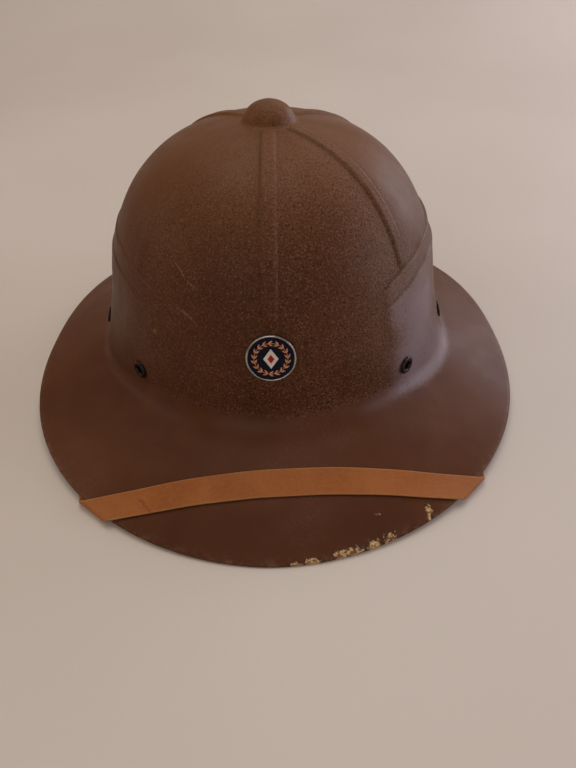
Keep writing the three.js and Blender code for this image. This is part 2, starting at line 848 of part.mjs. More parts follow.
// Shell, with the holes for the eyelets and the badge's post, and worn flat where it rests
let shell = toSolid(makeShell());
for (const frame of eyeletFrames) {
  shell = shell.subtract(toSolid(drill(barrelRadius + clearance), frameMatrix(frame)));
}
shell = shell.subtract(toSolid(drill(badgePostDiameter / 2 + clearance), frameMatrix(badgeFrame)));
const groundDepth = 20;
const ground = new THREE.BoxGeometry(4 * halfBrimWidth, 4 * halfBrimLength, groundDepth);
shell = shell.subtract(toSolid(ground.translate(0, 0, -groundDepth / 2)));
addPart('shell', toGeometry(shell), crownPaint);

for (const [index, eyelet] of eyelets.entries()) {
  addPart(eyelet.name, eyeletGeometry(), darkMetal, frameMatrix(eyeletFrames[index]));
}

addPart('badge_body', badgeBodyGeometry(), silver, frameMatrix(badgeFrame));
const fieldRadius = badgeDiameter / 2 - badgeRimWidth - clearance;
const field = new THREE.CylinderGeometry(fieldRadius, fieldRadius, badgeEnamelThickness, badgeSides)
  .translate(0, (enamelBack + enamelFront) / 2, 0);
addPart('badge_field', field, navyEnamel, frameMatrix(badgeFrame));
addPart('badge_wreath', ornament(wreathShape()), copperEnamel, frameMatrix(badgeFrame));
addPart('badge_lozenge', ornament(lozengeShape()), creamEnamel, frameMatrix(badgeFrame));

const leftStations = leftHalf.stations.slice(1).reverse().map(mirrored);
let strap = toSolid(strapGeometry([...leftStations, ...rightHalf.stations]));
for (const post of posts) {
  strap = strap.subtract(toSolid(drill(postDiameter / 2 + clearance), frameMatrix(post.frame)));
}
addPart('chin_strap', toGeometry(strap), leather);
for (const post of posts) {
  addPart(post.name, postGeometry(), steel, frameMatrix(post.frame));
}

export default parts;
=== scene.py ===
# Looks of the pressed-fibre sun helmet. Named sizes are millimetres in the part's own frame:
# +Z up, the front of the hat towards -Y, the origin on the surface that it rests on.
import math

import bpy
import numpy as np
from mathutils import Matrix, Vector


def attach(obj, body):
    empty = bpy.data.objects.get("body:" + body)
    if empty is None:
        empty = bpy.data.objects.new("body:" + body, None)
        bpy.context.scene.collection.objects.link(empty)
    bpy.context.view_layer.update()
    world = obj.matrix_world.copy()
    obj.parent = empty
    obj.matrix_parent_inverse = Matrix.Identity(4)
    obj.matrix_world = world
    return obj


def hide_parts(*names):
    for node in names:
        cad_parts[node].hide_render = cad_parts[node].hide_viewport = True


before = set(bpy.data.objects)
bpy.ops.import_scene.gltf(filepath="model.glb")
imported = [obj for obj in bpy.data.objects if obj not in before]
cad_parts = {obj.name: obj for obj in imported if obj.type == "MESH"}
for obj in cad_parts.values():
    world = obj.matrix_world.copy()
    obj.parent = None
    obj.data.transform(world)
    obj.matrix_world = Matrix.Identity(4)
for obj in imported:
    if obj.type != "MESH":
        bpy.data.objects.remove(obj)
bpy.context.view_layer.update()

MM = 0.001

# Crown
CROWN_WIDTH = 184.2
CROWN_LENGTH = 206.4
CROWN_HEIGHT = 137.4
CROWN_BASE_HEIGHT = 27.2
CROWN_ROUNDNESS = 2.783
CROWN_FULLNESS = 2.531
CROWN_TAPER = 0.018
HALF_CROWN_WIDTH = CROWN_WIDTH / 2
HALF_CROWN_LENGTH = CROWN_LENGTH / 2

# Foot of the crown
FOOT_FRONT_HEIGHT = 28.3
FOOT_SIDE_HEIGHT = 21.3
FOOT_AZIMUTHS = (15, 60)
FRONT_FILLET_UP = 10
FRONT_FILLET_OUT = 13
SIDE_FILLET_UP = 5
SIDE_FILLET_OUT = 5.5
FILLET_AZIMUTHS = (28, 58)

# Swell of the sides towards the foot
SIDE_SWELL = 8.6
SIDE_SWELL_HEIGHT = 45.5
SIDE_SWELL_POWER = 1.4
SWELL_AZIMUTHS = (34, 72)

# Brim
HALF_BRIM_WIDTH = HALF_CROWN_WIDTH + 47.9
HALF_BRIM_LENGTH = HALF_CROWN_LENGTH + 61.3
RIM_FRONT_HEIGHT = 1.25
RIM_SIDE_HEIGHT = 7.8
RIM_DIP_POWER = 2
RIM_SIDE_ROUNDNESS = 1.91
RIM_FRONT_ROUNDNESS = 2.313
RIM_ROUNDING = 0.8
WALL = 2

# Knob
KNOB_RADIUS = 13.6
KNOB_HEIGHT = 9.4
KNOB_SHOULDER = 2.2
KNOB_FALL = 0.62
KNOB_FOOT_START = 0.95
KNOB_FOOT_RADIUS = 1.22 * KNOB_RADIUS

# Ribs and pleats
RIB_WIDTH = 7
RIB_HEIGHT = 1
RIB_SLOPE = 1.1
RIB_CREASE = 0.12
RIB_AZIMUTHS = [0, 45, 135, 180, 225, 315]
FAINT_RIB_AZIMUTH = 315
RIB_START_RADIUS = 14.5
RIB_FADE = 4
SIDE_RIB_FADE = 0.9
FRONT_RIB_END_HEIGHT = 79
PLEAT_HEIGHT = 1.2
PLEAT_LIP = 0.55
PLEAT_AZIMUTHS = (33, 35.5)
# A pleat's edge has azimuths and heights as shares of the crown's height
PLEATS = [
    {"fall": 15, "edge": [(34, 0.611), (39, 0.63), (46, 0.648), (63, 0.67), (90, 0.677)]},
    {"fall": 32, "edge": [(35, 0.553), (43, 0.573), (53, 0.596), (66, 0.608), (90, 0.604)]},
]

# The left side is pressed more faintly than the right, and its painted highlights, which are partly wear,
# and its painted shade are fainter
FAINT_RIB = 0.3
FAINT_PLEATS = 0.5
FAINT_HIGHLIGHT_AND_SHADE = 0.12
# How clearly the front rib's crease, painted highlight and painted shade show
FRONT_RIB_CLEARNESS = 0.5

# Layers of the paint, with painted highlights, painted shade, painted light and a painted sheen among them:
# strengths as shares, heights in mm, and azimuths from -90 at the left to 90 at the right, front and rear
# alike. The painted sheen's side and rear azimuths go on round the hat.
PLEAT_LIP_HIGHLIGHT_AND_WEAR = 0.5
PLEAT_SHADE = 0.9
KNOB_WEAR = 0.25
KNOB_TIP_WEAR = 0.2
BRIM_EDGE_WEAR = [0.05, 0.2, 0.6]
RIM_WEAR = [0.6, 0.6, 0.6, 0.3, 0.3, 0.3]
CROWN_PAINT_ABOVE_FOOT = (-0.5, 7.5)
GRAIN_LEFT = (-76, -30)
GRAIN_MIDDLE = (-30, 10)
GRAIN_RIGHT = (42, 60)
GRAIN_TOP = (114, 137)
GRAIN_FRONT = (26, 40)
GRAIN_LOW = (74, 46)
# Painted sheen: a pale reflection below the pleats of the right side
SHEEN_START = (43, 50)
SHEEN_LOW = (62, 36)
SHEEN_SIDE = (54, 82)
SHEEN_SIDE_HEIGHTS = (24, 46)
SHEEN_REAR = (66, 96)
SHEEN_ON_BRIM = (1, 9.5)
# Painted light: the crown's upper right side is made lighter, as lit from the right
LIT_RIGHT_START = (18, 40)
LIT_RIGHT_END = (70, 90)
LIT_RIGHT_HEIGHTS = (30, 60)

# Eyelets
EYELET_FLANGE_RADIUS = 4.8
EYELET_HOLE_RADIUS = 2.2
EYELET_BARREL_WALL = 0.8
EYELET_FLANGE_THICKNESS = 1.2
EYELET_INNER_FLANGE_RADIUS = 4.3
EYELET_ROLL_START = 0.3
EYELET_ABOVE_FOOT = 13.5
EYELET_AZIMUTHS = {
    "eyelet_front_right": 44,
    "eyelet_side_right": 81,
    "eyelet_rear_right": 136,
    "eyelet_rear_left": 224,
    "eyelet_side_left": 279,
    "eyelet_front_left": 316,
}

# Badge
BADGE_RADIUS = 11.25
BADGE_THICKNESS = 1.9
BADGE_RIM_WIDTH = 0.8
BADGE_RECESS = 1.2
BADGE_BEAD = 0.32
BADGE_SIDES = 96
BADGE_ENAMEL = 0.3
ENAMEL_GAP = 0.12
ENAMEL_FALL = 0.1
BADGE_ORNAMENT = 0.3
BADGE_POST_RADIUS = 1.2
BADGE_POST_HEAD_RADIUS = 2.75
BADGE_POST_HEAD_THICKNESS = 1
BADGE_ABOVE_FOOT = 37.7
WREATH_RADIUS = 8.8
WREATH_BAND = 2.6
WREATH_LEAVES = 18
LEAF_LENGTH = 2.3
LEAF_WIDTH = 0.78
LEAF_LEAN = 30
LEAF_OFFSET = 0.72
LOZENGE_WIDTH = 6.8
LOZENGE_HEIGHT = 9.8
RED_LOZENGE_SHARE = 0.45

# Chin strap and its posts
STRAP_WIDTH = 12
STRAP_THICKNESS = 1
STRAP_GAP = 0.4
STRAP_PLACE_ON_BRIM = 0.447
STRAP_SKEW_ANGLE = 2.9
STRAP_HANG = 0.2
STRAP_SLACK = 0.8
STRAP_LEAD = 8
STRAP_TAIL = 8
STRAP_STOPS = (0.14, 0.3, 0.46, 0.62)
STRAP_FLAT_STEPS = 56
STRAP_BENDS = 16
STRAP_STEPS_PER_STOP = 8
POST_RADIUS = 2
POST_FLANGE_RADIUS = 5.5
POST_FLANGE_THICKNESS = 0.8
POST_HEAD_RADIUS = 4.2
POST_HEAD_THICKNESS = 1.2
POST_AZIMUTH = 104
POST_ABOVE_FOOT = 5.4

CLEARANCE = 0.3
FACET_SAG = 0.25
HALVINGS = 40

# Where pieces inside the crown start, measured out of its outer face
INNER_FACE = -WALL - CLEARANCE - FACET_SAG

# Camera, at the photograph's view of the hat
CAMERA_LENS = 27.05
CAMERA_PLACE = (6.86, -303.97, 221.46)
CAMERA_FORWARD = (0.00183, 0.76531, -0.64366)
CAMERA_RIGHT = (0.999856, -0.012251, -0.011719)


def make_camera():
    data = bpy.data.cameras.new("camera")
    data.sensor_width = 36
    data.lens = CAMERA_LENS
    camera = bpy.data.objects.new("camera", data)
    bpy.context.collection.objects.link(camera)
    forward = Vector(CAMERA_FORWARD)
    right = Vector(CAMERA_RIGHT)
    right = (right - forward * right.dot(forward)).normalized()
    turned = Matrix((right, right.cross(forward), -forward)).transposed().to_4x4()
    camera.matrix_world = Matrix.Translation(Vector(CAMERA_PLACE) * MM) @ turned
    bpy.context.scene.camera = camera


# Shape of the hat, as functions of the turn round the axis and the height. A turn is the angle
# in the crown's ellipse, an azimuth the one seen from above. Both start at the front.
def smooth(low, high, value):
    share = np.clip((value - low) / (high - low), 0, 1)
    return share * share * (3 - 2 * share)


def rounded(cosine, power):
    return np.sign(cosine) * np.abs(cosine) ** (2 / power)


def points(x, y, z):
    return np.stack(np.broadcast_arrays(x, y, z), axis=-1).astype(float)


def unit(vectors):
    return vectors / np.linalg.norm(vectors, axis=-1, keepdims=True)


def turn_of_azimuth(azimuth):
    angle = np.radians(azimuth)
    return np.arctan2(np.sin(angle) / HALF_CROWN_WIDTH, np.cos(angle) / HALF_CROWN_LENGTH)


def azimuth_of_turn(turn):
    return np.degrees(np.arctan2(HALF_CROWN_WIDTH * np.sin(turn), HALF_CROWN_LENGTH * np.cos(turn)))


def quarter_azimuth(turn):
    return 90 - np.abs(90 - np.abs(azimuth_of_turn(turn)))


def foot_height(turn):
    front = 1 - smooth(*FOOT_AZIMUTHS, quarter_azimuth(turn))
    return FOOT_SIDE_HEIGHT + (FOOT_FRONT_HEIGHT - FOOT_SIDE_HEIGHT) * front


def crown_share(height):
    rise = np.clip((height - CROWN_BASE_HEIGHT) / (CROWN_HEIGHT - CROWN_BASE_HEIGHT), 0, 1)
    return (1 - rise ** CROWN_ROUNDNESS) ** (1 / CROWN_FULLNESS) * (1 - CROWN_TAPER * rise)


def wall_point(turn, height):
    share = crown_share(height)
    below = np.clip((FOOT_SIDE_HEIGHT + SIDE_SWELL_HEIGHT - height) / SIDE_SWELL_HEIGHT, 0, 1)
    swell = SIDE_SWELL * smooth(*SWELL_AZIMUTHS, quarter_azimuth(turn)) * below ** SIDE_SWELL_POWER
    out_x = np.sin(turn) / HALF_CROWN_WIDTH
    out_y = -np.cos(turn) / HALF_CROWN_LENGTH
    swell = swell / np.hypot(out_x, out_y)
    return points(
        HALF_CROWN_WIDTH * share * np.sin(turn) + swell * out_x,
        -HALF_CROWN_LENGTH * share * np.cos(turn) + swell * out_y,
        height)


def rim_point(turn):
    dip = np.abs(np.cos(turn)) ** RIM_DIP_POWER
    return points(
        HALF_BRIM_WIDTH * rounded(np.sin(turn), RIM_SIDE_ROUNDNESS),
        -HALF_BRIM_LENGTH * rounded(np.cos(turn), RIM_FRONT_ROUNDNESS),
        RIM_SIDE_HEIGHT + (RIM_FRONT_HEIGHT - RIM_SIDE_HEIGHT) * dip)


def brim_point(turn, share):
    foot = wall_point(turn, foot_height(turn))
    return foot + (rim_point(turn) - foot) * np.asarray(share)[..., None]


def brim_length(turn):
    return np.linalg.norm(rim_point(turn) - brim_point(turn, 0), axis=-1)


def crown_top(turn, radius):
    share = radius / np.hypot(HALF_CROWN_WIDTH * np.sin(turn), HALF_CROWN_LENGTH * np.cos(turn))
    rise = 1
    for _ in range(4):
        level = np.minimum(share / (1 - CROWN_TAPER * rise), 1)
        rise = (1 - level ** CROWN_FULLNESS) ** (1 / CROWN_ROUNDNESS)
    return points(
        HALF_CROWN_WIDTH * share * np.sin(turn),
        -HALF_CROWN_LENGTH * share * np.cos(turn),
        CROWN_BASE_HEIGHT + (CROWN_HEIGHT - CROWN_BASE_HEIGHT) * rise)


def knob_point(turn, share):
    point = crown_top(turn, share * KNOB_RADIUS)
    point[..., 2] += KNOB_HEIGHT * (1 - min(share, 1) ** KNOB_SHOULDER) ** KNOB_FALL
    return point


def bezier(start, corner, end, share):
    return (1 - share) ** 2 * start + 2 * share * (1 - share) * corner + share ** 2 * end


def knob_foot(turn, share):
    start = knob_point(turn, KNOB_FOOT_START)
    corner = crown_top(turn, KNOB_RADIUS)
    return bezier(start, corner, crown_top(turn, KNOB_FOOT_RADIUS), share)


def fillet_size(turn):
    wide = 1 - smooth(*FILLET_AZIMUTHS, quarter_azimuth(turn))
    up = SIDE_FILLET_UP + (FRONT_FILLET_UP - SIDE_FILLET_UP) * wide
    out = SIDE_FILLET_OUT + (FRONT_FILLET_OUT - SIDE_FILLET_OUT) * wide
    return up, out


def foot_fillet(turn, share):
    foot = foot_height(turn)
    up, out = fillet_size(turn)
    end = brim_point(turn, out / brim_length(turn))
    return bezier(wall_point(turn, foot + up), wall_point(turn, foot), end, share)


def pleat_edge(pleat, turn):
    places = pleat["edge"]
    share = places[0][1]
    for (azimuth, before), (following, after) in zip(places, places[1:]):
        share = share + (after - before) * smooth(azimuth, following, quarter_azimuth(turn))
    return CROWN_HEIGHT * share


def pleat_strength(turn):
    return smooth(*PLEAT_AZIMUTHS, quarter_azimuth(turn)) * np.where(np.sin(turn) < 0, FAINT_PLEATS, 1)


def pleat_relief(turn, height):
    relief = 0
    for pleat in PLEATS:
        below = pleat_edge(pleat, turn) - height
        fall = np.maximum(1 - np.maximum(below, 0) / pleat["fall"], 0)
        lip = smooth(-PLEAT_LIP, PLEAT_LIP, below) * fall
        relief = relief + PLEAT_HEIGHT * pleat_strength(turn) * lip
    return relief


def rib_end(rib):
    if rib % 180 == 0:
        return FRONT_RIB_END_HEIGHT
    return float(pleat_edge(PLEATS[0], turn_of_azimuth(rib)))


# Grid of the shell. Each column is a rib with an offset from its middle line,
# or a place between two ribs.
RIB_REACH = 5
RIB_HALF_OFFSETS = [1.2, 2.4, 2.85, 3.3, 3.75, 4.2, RIB_REACH]
RIB_OFFSETS = [-offset for offset in reversed(RIB_HALF_OFFSETS)] + [0] + RIB_HALF_OFFSETS
COLUMN_STEP = 1.25
COLUMNS_LEFT_OUT = 8
LEAST_SPACING_RADIUS = 16
KNOB_ROWS = [0.04, 0.12, 0.22, 0.32, 0.42, 0.52, 0.61, 0.69, 0.76, 0.82, 0.87, 0.91]
KNOB_FOOT_STEPS = 8
DOME_END_HEIGHT = 0.932 * CROWN_HEIGHT
DOME_STEPS = 22
WALL_STEPS = 30
PLEAT_REACH = 1.1
PLEAT_ROWS = [PLEAT_REACH, 0.6, 0.3, 0, -0.3, -0.6, -PLEAT_REACH]
STEPS_BELOW_PLEATS = (6, 28)
FILLET_STEPS = 10
BRIM_STEPS = 27


def make_columns():
    columns = []
    for index, rib in enumerate(RIB_AZIMUTHS):
        following = RIB_AZIMUTHS[(index + 1) % len(RIB_AZIMUTHS)] or 360
        columns += [(rib, rib, offset, 0) for offset in RIB_OFFSETS]
        count = round((following - rib) / COLUMN_STEP) - COLUMNS_LEFT_OUT
        columns += [(rib, following, RIB_REACH, step / (count + 1)) for step in range(1, count + 1)]
    return np.array(columns, float)


def column_turns(columns, radius):
    radius = max(radius, LEAST_SPACING_RADIUS)
    rib, following, offset, share = columns.T
    start = rib + np.degrees(np.arcsin(offset / radius))
    end = following - np.degrees(np.arcsin(RIB_REACH / radius))
    return turn_of_azimuth(np.where(share > 0, start + (end - start) * share, start))


# Shares of a stretch in equal steps, from the first step to the last one
def stepped(steps, first, last):
    return [step / steps for step in range(first, last + 1)]


# Points of the stretches of the grid, and the radii that space the ribs' columns on them
def dome_point(turn, share):
    end = np.linalg.norm(wall_point(turn, DOME_END_HEIGHT)[..., :2], axis=-1)
    return crown_top(turn, KNOB_FOOT_RADIUS + (end - KNOB_FOOT_RADIUS) * share)


def dome_radius(share):
    end = HALF_CROWN_WIDTH * float(crown_share(DOME_END_HEIGHT))
    return KNOB_FOOT_RADIUS + (end - KNOB_FOOT_RADIUS) * share


def upper_wall_point(turn, share):
    end = pleat_edge(PLEATS[0], turn) + PLEAT_REACH
    return wall_point(turn, DOME_END_HEIGHT + (end - DOME_END_HEIGHT) * share)


def upper_wall_radius(share):
    end = CROWN_HEIGHT * PLEATS[0]["edge"][-2][1]
    return HALF_CROWN_WIDTH * float(crown_share(DOME_END_HEIGHT + (end - DOME_END_HEIGHT) * share))


def flat_brim_point(turn, share):
    start = fillet_size(turn)[1] / brim_length(turn)
    end = 1 - RIM_ROUNDING / brim_length(turn)
    return brim_point(turn, start + (end - start) * share)


# Turns and points of the grid's rows, from the knob down to the rim
def make_grid(columns):
    turns = []
    plain = []

    def add(shares, point, radius=lambda share: HALF_CROWN_WIDTH):
        for share in shares:
            row = column_turns(columns, radius(share))
            turns.append(row)
            plain.append(point(row, share))

    add(KNOB_ROWS, knob_point, lambda share: KNOB_RADIUS)
    add(stepped(KNOB_FOOT_STEPS, 0, KNOB_FOOT_STEPS), knob_foot, lambda share: KNOB_RADIUS)
    add(stepped(DOME_STEPS, 1, DOME_STEPS - 1), dome_point, dome_radius)
    add(stepped(WALL_STEPS, 0, WALL_STEPS - 1), upper_wall_point, upper_wall_radius)
    for index, (pleat, steps) in enumerate(zip(PLEATS, STEPS_BELOW_PLEATS)):

        def below_pleat(turn, share):
            start = pleat_edge(pleat, turn) - PLEAT_REACH
            end = foot_height(turn) + fillet_size(turn)[0]
            if index + 1 < len(PLEATS):
                end = pleat_edge(PLEATS[index + 1], turn) + PLEAT_REACH
            return wall_point(turn, start + (end - start) * share)

        add(PLEAT_ROWS, lambda turn, offset: wall_point(turn, pleat_edge(pleat, turn) + offset))
        add(stepped(steps, 1, steps - 1), below_pleat)
    add(stepped(FILLET_STEPS, 0, FILLET_STEPS), foot_fillet)
    add(stepped(BRIM_STEPS, 1, BRIM_STEPS), flat_brim_point)
    return np.array(turns), np.array(plain)


# Slow unevenness of the moulded fibre, a fraction of a millimetre
def waviness(place):
    x, y, z = (place * MM * 2 * np.pi).transpose(2, 0, 1)
    wave = np.sin(x * 17 + y * 9 + 0.7) * np.sin(z * 13 + y * 11 + 1.9)
    wave += 0.7 * np.sin(y * 23 - x * 14 + 2.3) * np.sin(x * 19 + z * 21 + 0.4)
    return 0.09 * wave


# Narrow line with soft sides, 1 in its middle
def soft_line(distance, width):
    return np.exp(-(distance / width) ** 2)


# Relief of the ribs, with a light line along the right edge, which is a painted highlight and partly wear,
# and a dark line at the left foot, which is painted shade, as seen from outside
def rib_relief(columns, plain):
    rib, _, offset, share = columns.T
    ends = np.array([rib_end(value) for value in rib])
    fades = np.where(rib % 180 == 0, RIB_FADE, SIDE_RIB_FADE)
    across = np.where(share > 0, RIB_REACH, np.abs(offset))
    outside = across - RIB_WIDTH / 2
    height = RIB_HEIGHT * (1 - smooth(RIB_WIDTH / 2 - RIB_SLOPE, RIB_WIDTH / 2, across))
    height = height * np.where(rib == FAINT_RIB_AZIMUTH, FAINT_RIB, 1)
    clear = np.where(rib == FAINT_RIB_AZIMUTH, 0, np.where(rib == 0, FRONT_RIB_CLEARNESS, 1))
    crest = RIB_CREASE * clear * soft_line(outside + RIB_SLOPE, 0.45)
    groove = -RIB_CREASE * clear * soft_line(outside - 0.5, 0.5)
    radius = np.linalg.norm(plain[..., :2], axis=-1)
    along = smooth(RIB_START_RADIUS, RIB_START_RADIUS + RIB_FADE, radius)
    along = along * smooth(ends, ends + fades, plain[..., 2])
    on_right = np.where((share == 0) & (offset > 0), 1.0, FAINT_HIGHLIGHT_AND_SHADE)
    # Light line along the rib's right edge: painted highlight, partly wear
    edge = clear * on_right * soft_line(outside + RIB_SLOPE * 0.75, 0.5)
    # Dark line at the rib's left foot: painted shade
    foot = clear * (share == 0) * (offset < 0) * soft_line(outside - 0.1, 0.45)
    return (height + crest + groove) * along, edge * along, foot * along


def make_mesh(name, vertices, faces, materials=None):
    mesh = bpy.data.meshes.new(name)
    mesh.from_pydata((np.asarray(vertices) * MM).tolist(), [], [list(map(int, face)) for face in faces])
    if materials is not None:
        mesh.polygons.foreach_set("material_index", np.asarray(materials, dtype=np.int32))
    mesh.polygons.foreach_set("use_smooth", np.ones(len(mesh.polygons), dtype=bool))
    mesh.update()
    return mesh


def make_object(name, mesh):
    piece = bpy.data.objects.new(name, mesh)
    bpy.context.collection.objects.link(piece)
    return piece


def ring_faces(lines, count, close_ends=False):
    at = np.arange(lines * count).reshape(lines, count)
    a, b = at[:-1], at[1:]
    faces = np.stack([a, b, np.roll(b, -1, 1), np.roll(a, -1, 1)], axis=-1).reshape(-1, 4)
    faces = faces.tolist()
    if close_ends:
        faces.append(at[0].tolist())
        faces.append(at[-1][::-1].tolist())
    return faces


def set_attribute(mesh, name, values):
    attribute = mesh.attributes.new(name, "FLOAT", "POINT")
    attribute.data.foreach_set("value", np.asarray(values, dtype=np.float32).ravel())


# Lines of the paint: painted highlights, partly wear, along the ribs' right edges and the pleats' lips,
# painted shade at the ribs' left feet and above the pleats, and wear on the knob and at the brim's edge
def highlight_shade_and_wear_layers(turns, plain, rib_edge_highlights_and_wear, rib_foot_shade):
    side = np.where(plain[..., 0] < 0, FAINT_HIGHLIGHT_AND_SHADE, 1)
    painted_shade = rib_foot_shade
    pleat_lip_highlights_and_wear = np.zeros_like(rib_edge_highlights_and_wear)
    for pleat in PLEATS:
        below = pleat_edge(pleat, turns) - plain[..., 2]
        # Light line on each pleat's lip: painted highlight, partly wear
        pleat_lip_highlights_and_wear += PLEAT_LIP_HIGHLIGHT_AND_WEAR * side * pleat_strength(turns) * soft_line(below - 0.45, 0.5)
        # Dark line just above each pleat's edge: painted shade
        painted_shade = painted_shade + PLEAT_SHADE * side * pleat_strength(turns) * soft_line(below + 0.7, 0.5)
    wear_and_highlight = rib_edge_highlights_and_wear + pleat_lip_highlights_and_wear
    wear_and_highlight[-len(BRIM_EDGE_WEAR):] += np.array(BRIM_EDGE_WEAR)[:, None]
    # The knob's four lowest rows and the first one of its foot
    wear_and_highlight[len(KNOB_ROWS) - 4:len(KNOB_ROWS) + 1] += KNOB_WEAR
    return np.clip(wear_and_highlight, 0, 1), painted_shade


# Grain of the crown's paint, strongest over the front
def grain_layer(azimuth, height):
    grain = smooth(*GRAIN_LEFT, azimuth) * (1 - smooth(*GRAIN_RIGHT, azimuth))
    grain *= 0.65 + 0.35 * smooth(*GRAIN_MIDDLE, azimuth)
    grain *= 1 - 0.45 * smooth(*GRAIN_TOP, height)
    grain = 0.24 + 0.76 * grain
    return grain * (1 + 0.25 * smooth(*GRAIN_LOW, height) * (1 - smooth(*GRAIN_FRONT, np.abs(azimuth))))


# Painted sheen: a pale reflection below the pleats of the right side, which fades towards the rear and the
# brim
def painted_sheen_layer(turns, plain, azimuth, above_foot):
    height = plain[..., 2]
    painted_sheen = 0.2 * smooth(*SHEEN_START, azimuth)
    for pleat in PLEATS:
        below = pleat_edge(pleat, turns) - height
        soft = 12 * smooth(2, 26, below)
        start, end = PLEAT_AZIMUTHS
        painted_sheen += 0.33 * smooth(-0.5, 0.5, below) * smooth(start - soft / 6, end + soft * 0.8, azimuth)
    painted_sheen += 0.15 * painted_sheen * smooth(*SHEEN_LOW, height)
    painted_sheen *= 1 - smooth(*SHEEN_SIDE, azimuth_of_turn(turns)) * smooth(*SHEEN_SIDE_HEIGHTS, height)
    painted_sheen *= 1 - 0.8 * smooth(*SHEEN_REAR, azimuth_of_turn(turns))
    brim_reach = np.linalg.norm(plain - brim_point(turns, 0), axis=-1)
    return painted_sheen * (azimuth > 0) * np.where(above_foot < 0, 1 - smooth(*SHEEN_ON_BRIM, brim_reach), 1)


# Layers that the shell's paint reads, as shares on the points of the grid
def paint_layers(turns, plain, rib_edge_highlights_and_wear, rib_foot_shade):
    height = plain[..., 2]
    above_foot = height - foot_height(turns)
    azimuth = np.sign(azimuth_of_turn(turns)) * quarter_azimuth(turns)
    wear_and_highlight, painted_shade = highlight_shade_and_wear_layers(turns, plain, rib_edge_highlights_and_wear, rib_foot_shade)
    crown = smooth(*CROWN_PAINT_ABOVE_FOOT, above_foot)
    # Painted light on the crown's upper right side
    painted_light_right = smooth(*LIT_RIGHT_START, azimuth) * (1 - smooth(*LIT_RIGHT_END, azimuth))
    return {
        "wear_and_highlight": wear_and_highlight,
        "crown": crown,
        "grain": grain_layer(azimuth, height) * crown,
        "painted_shade": painted_shade,
        "painted_sheen": painted_sheen_layer(turns, plain, azimuth, above_foot),
        "painted_light_right": painted_light_right * smooth(*LIT_RIGHT_HEIGHTS, height),
    }


# Closed surface: the outside from the knob down, the rounded rim, and the inside back up
# with fewer rows. A pole closes each of the two at the top.
def make_shell_mesh():
    columns = make_columns()
    turns, plain = make_grid(columns)
    around = np.roll(plain, -1, axis=1) - np.roll(plain, 1, axis=1)
    above = np.concatenate([plain[:1], plain[:-1]])
    under = np.concatenate([plain[1:], plain[-1:]])
    normals = unit(np.cross(around, above - under))
    ribs, rib_edge_highlights_and_wear, rib_foot_shade = rib_relief(columns, plain)
    pleats = pleat_relief(turns, plain[..., 2])
    wave = waviness(plain)[..., None] * normals
    relief = np.where(pleats > 0.01, np.maximum(pleats, ribs), ribs)

    lines = list(plain + normals * relief[..., None] + wave)
    rim_out = unit(rim_point(turns[-1]) - plain[-1])
    centre = plain[-1] - normals[-1] * WALL / 2
    for step in range(1, len(RIM_WEAR) + 1):
        angle = np.radians(180 * step / len(RIM_WEAR))
        level = centre + normals[-1] * WALL / 2 * np.cos(angle)
        lines.append(level + rim_out * RIM_ROUNDING * np.sin(angle))
    painted = len(lines) - 3
    knob_foot_rows = range(len(KNOB_ROWS), len(KNOB_ROWS) + KNOB_FOOT_STEPS + 1, 2)
    inner = [row for row in range(len(plain) - 2) if row % 3 == 1 or row in knob_foot_rows][::-1]
    lines += [plain[row] - normals[row] * WALL + wave[row] for row in inner]

    top = knob_point(np.zeros(1), 0.0)[0]
    vertices = np.concatenate([np.reshape(lines, (-1, 3)), [top], [top - (0, 0, WALL)]])
    vertices[:, 2] = np.maximum(vertices[:, 2], 0)
    count = len(columns)
    faces = ring_faces(len(lines), count)
    materials = np.repeat([0] * painted + [1] * (len(lines) - 1 - painted), count).tolist()
    first_pole = len(lines) * count
    last_line = first_pole - count
    for column in range(count):
        following = (column + 1) % count
        faces.append([first_pole, column, following])
        faces.append([first_pole + 1, last_line + following, last_line + column])
        materials += [0, 1]
    mesh = make_mesh("shell_outer", vertices, faces, materials)
    on_rim = {"wear_and_highlight": np.repeat(RIM_WEAR, count)}
    at_poles = {"wear_and_highlight": [KNOB_TIP_WEAR, 0], "crown": [1, 1]}
    for name, layer in paint_layers(turns, plain, rib_edge_highlights_and_wear, rib_foot_shade).items():
        rim = on_rim.get(name, np.zeros(len(RIM_WEAR) * count))
        values = [layer.ravel(), rim, layer[inner].ravel(), at_poles.get(name, [0, 0])]
        set_attribute(mesh, name, np.concatenate(values))
    return mesh


# Frames on the outer wall: x along it, y out of it, z up it
def wall_frame(turn, height, mirror=False):
    point = wall_point(turn, height)
    along = unit(wall_point(turn + 0.002, height) - wall_point(turn - 0.002, height))
    up = unit(wall_point(turn, height + 0.5) - wall_point(turn, height - 0.5))
    out = unit(np.cross(along, up))
    level = -unit(np.cross(out, up))
    if mirror:
        flip = np.array([-1, 1, 1])
        return point * flip, -level * flip, out * flip, up * flip
    return point, level, out, up


def wall_frame_at(azimuth, above_foot, mirror=False):
    turn = turn_of_azimuth(azimuth)
    return wall_frame(turn, foot_height(turn) + above_foot, mirror)


def frame_matrix(wall):
    point, level, out, up = wall
    matrix = np.eye(4)
    matrix[:3, :4] = np.stack([-level, out, up, point], axis=1)
    return matrix


def placed(vertices, matrix):
    vertices = np.asarray(vertices, float)
    return vertices @ matrix[:3, :3].T + matrix[:3, 3]


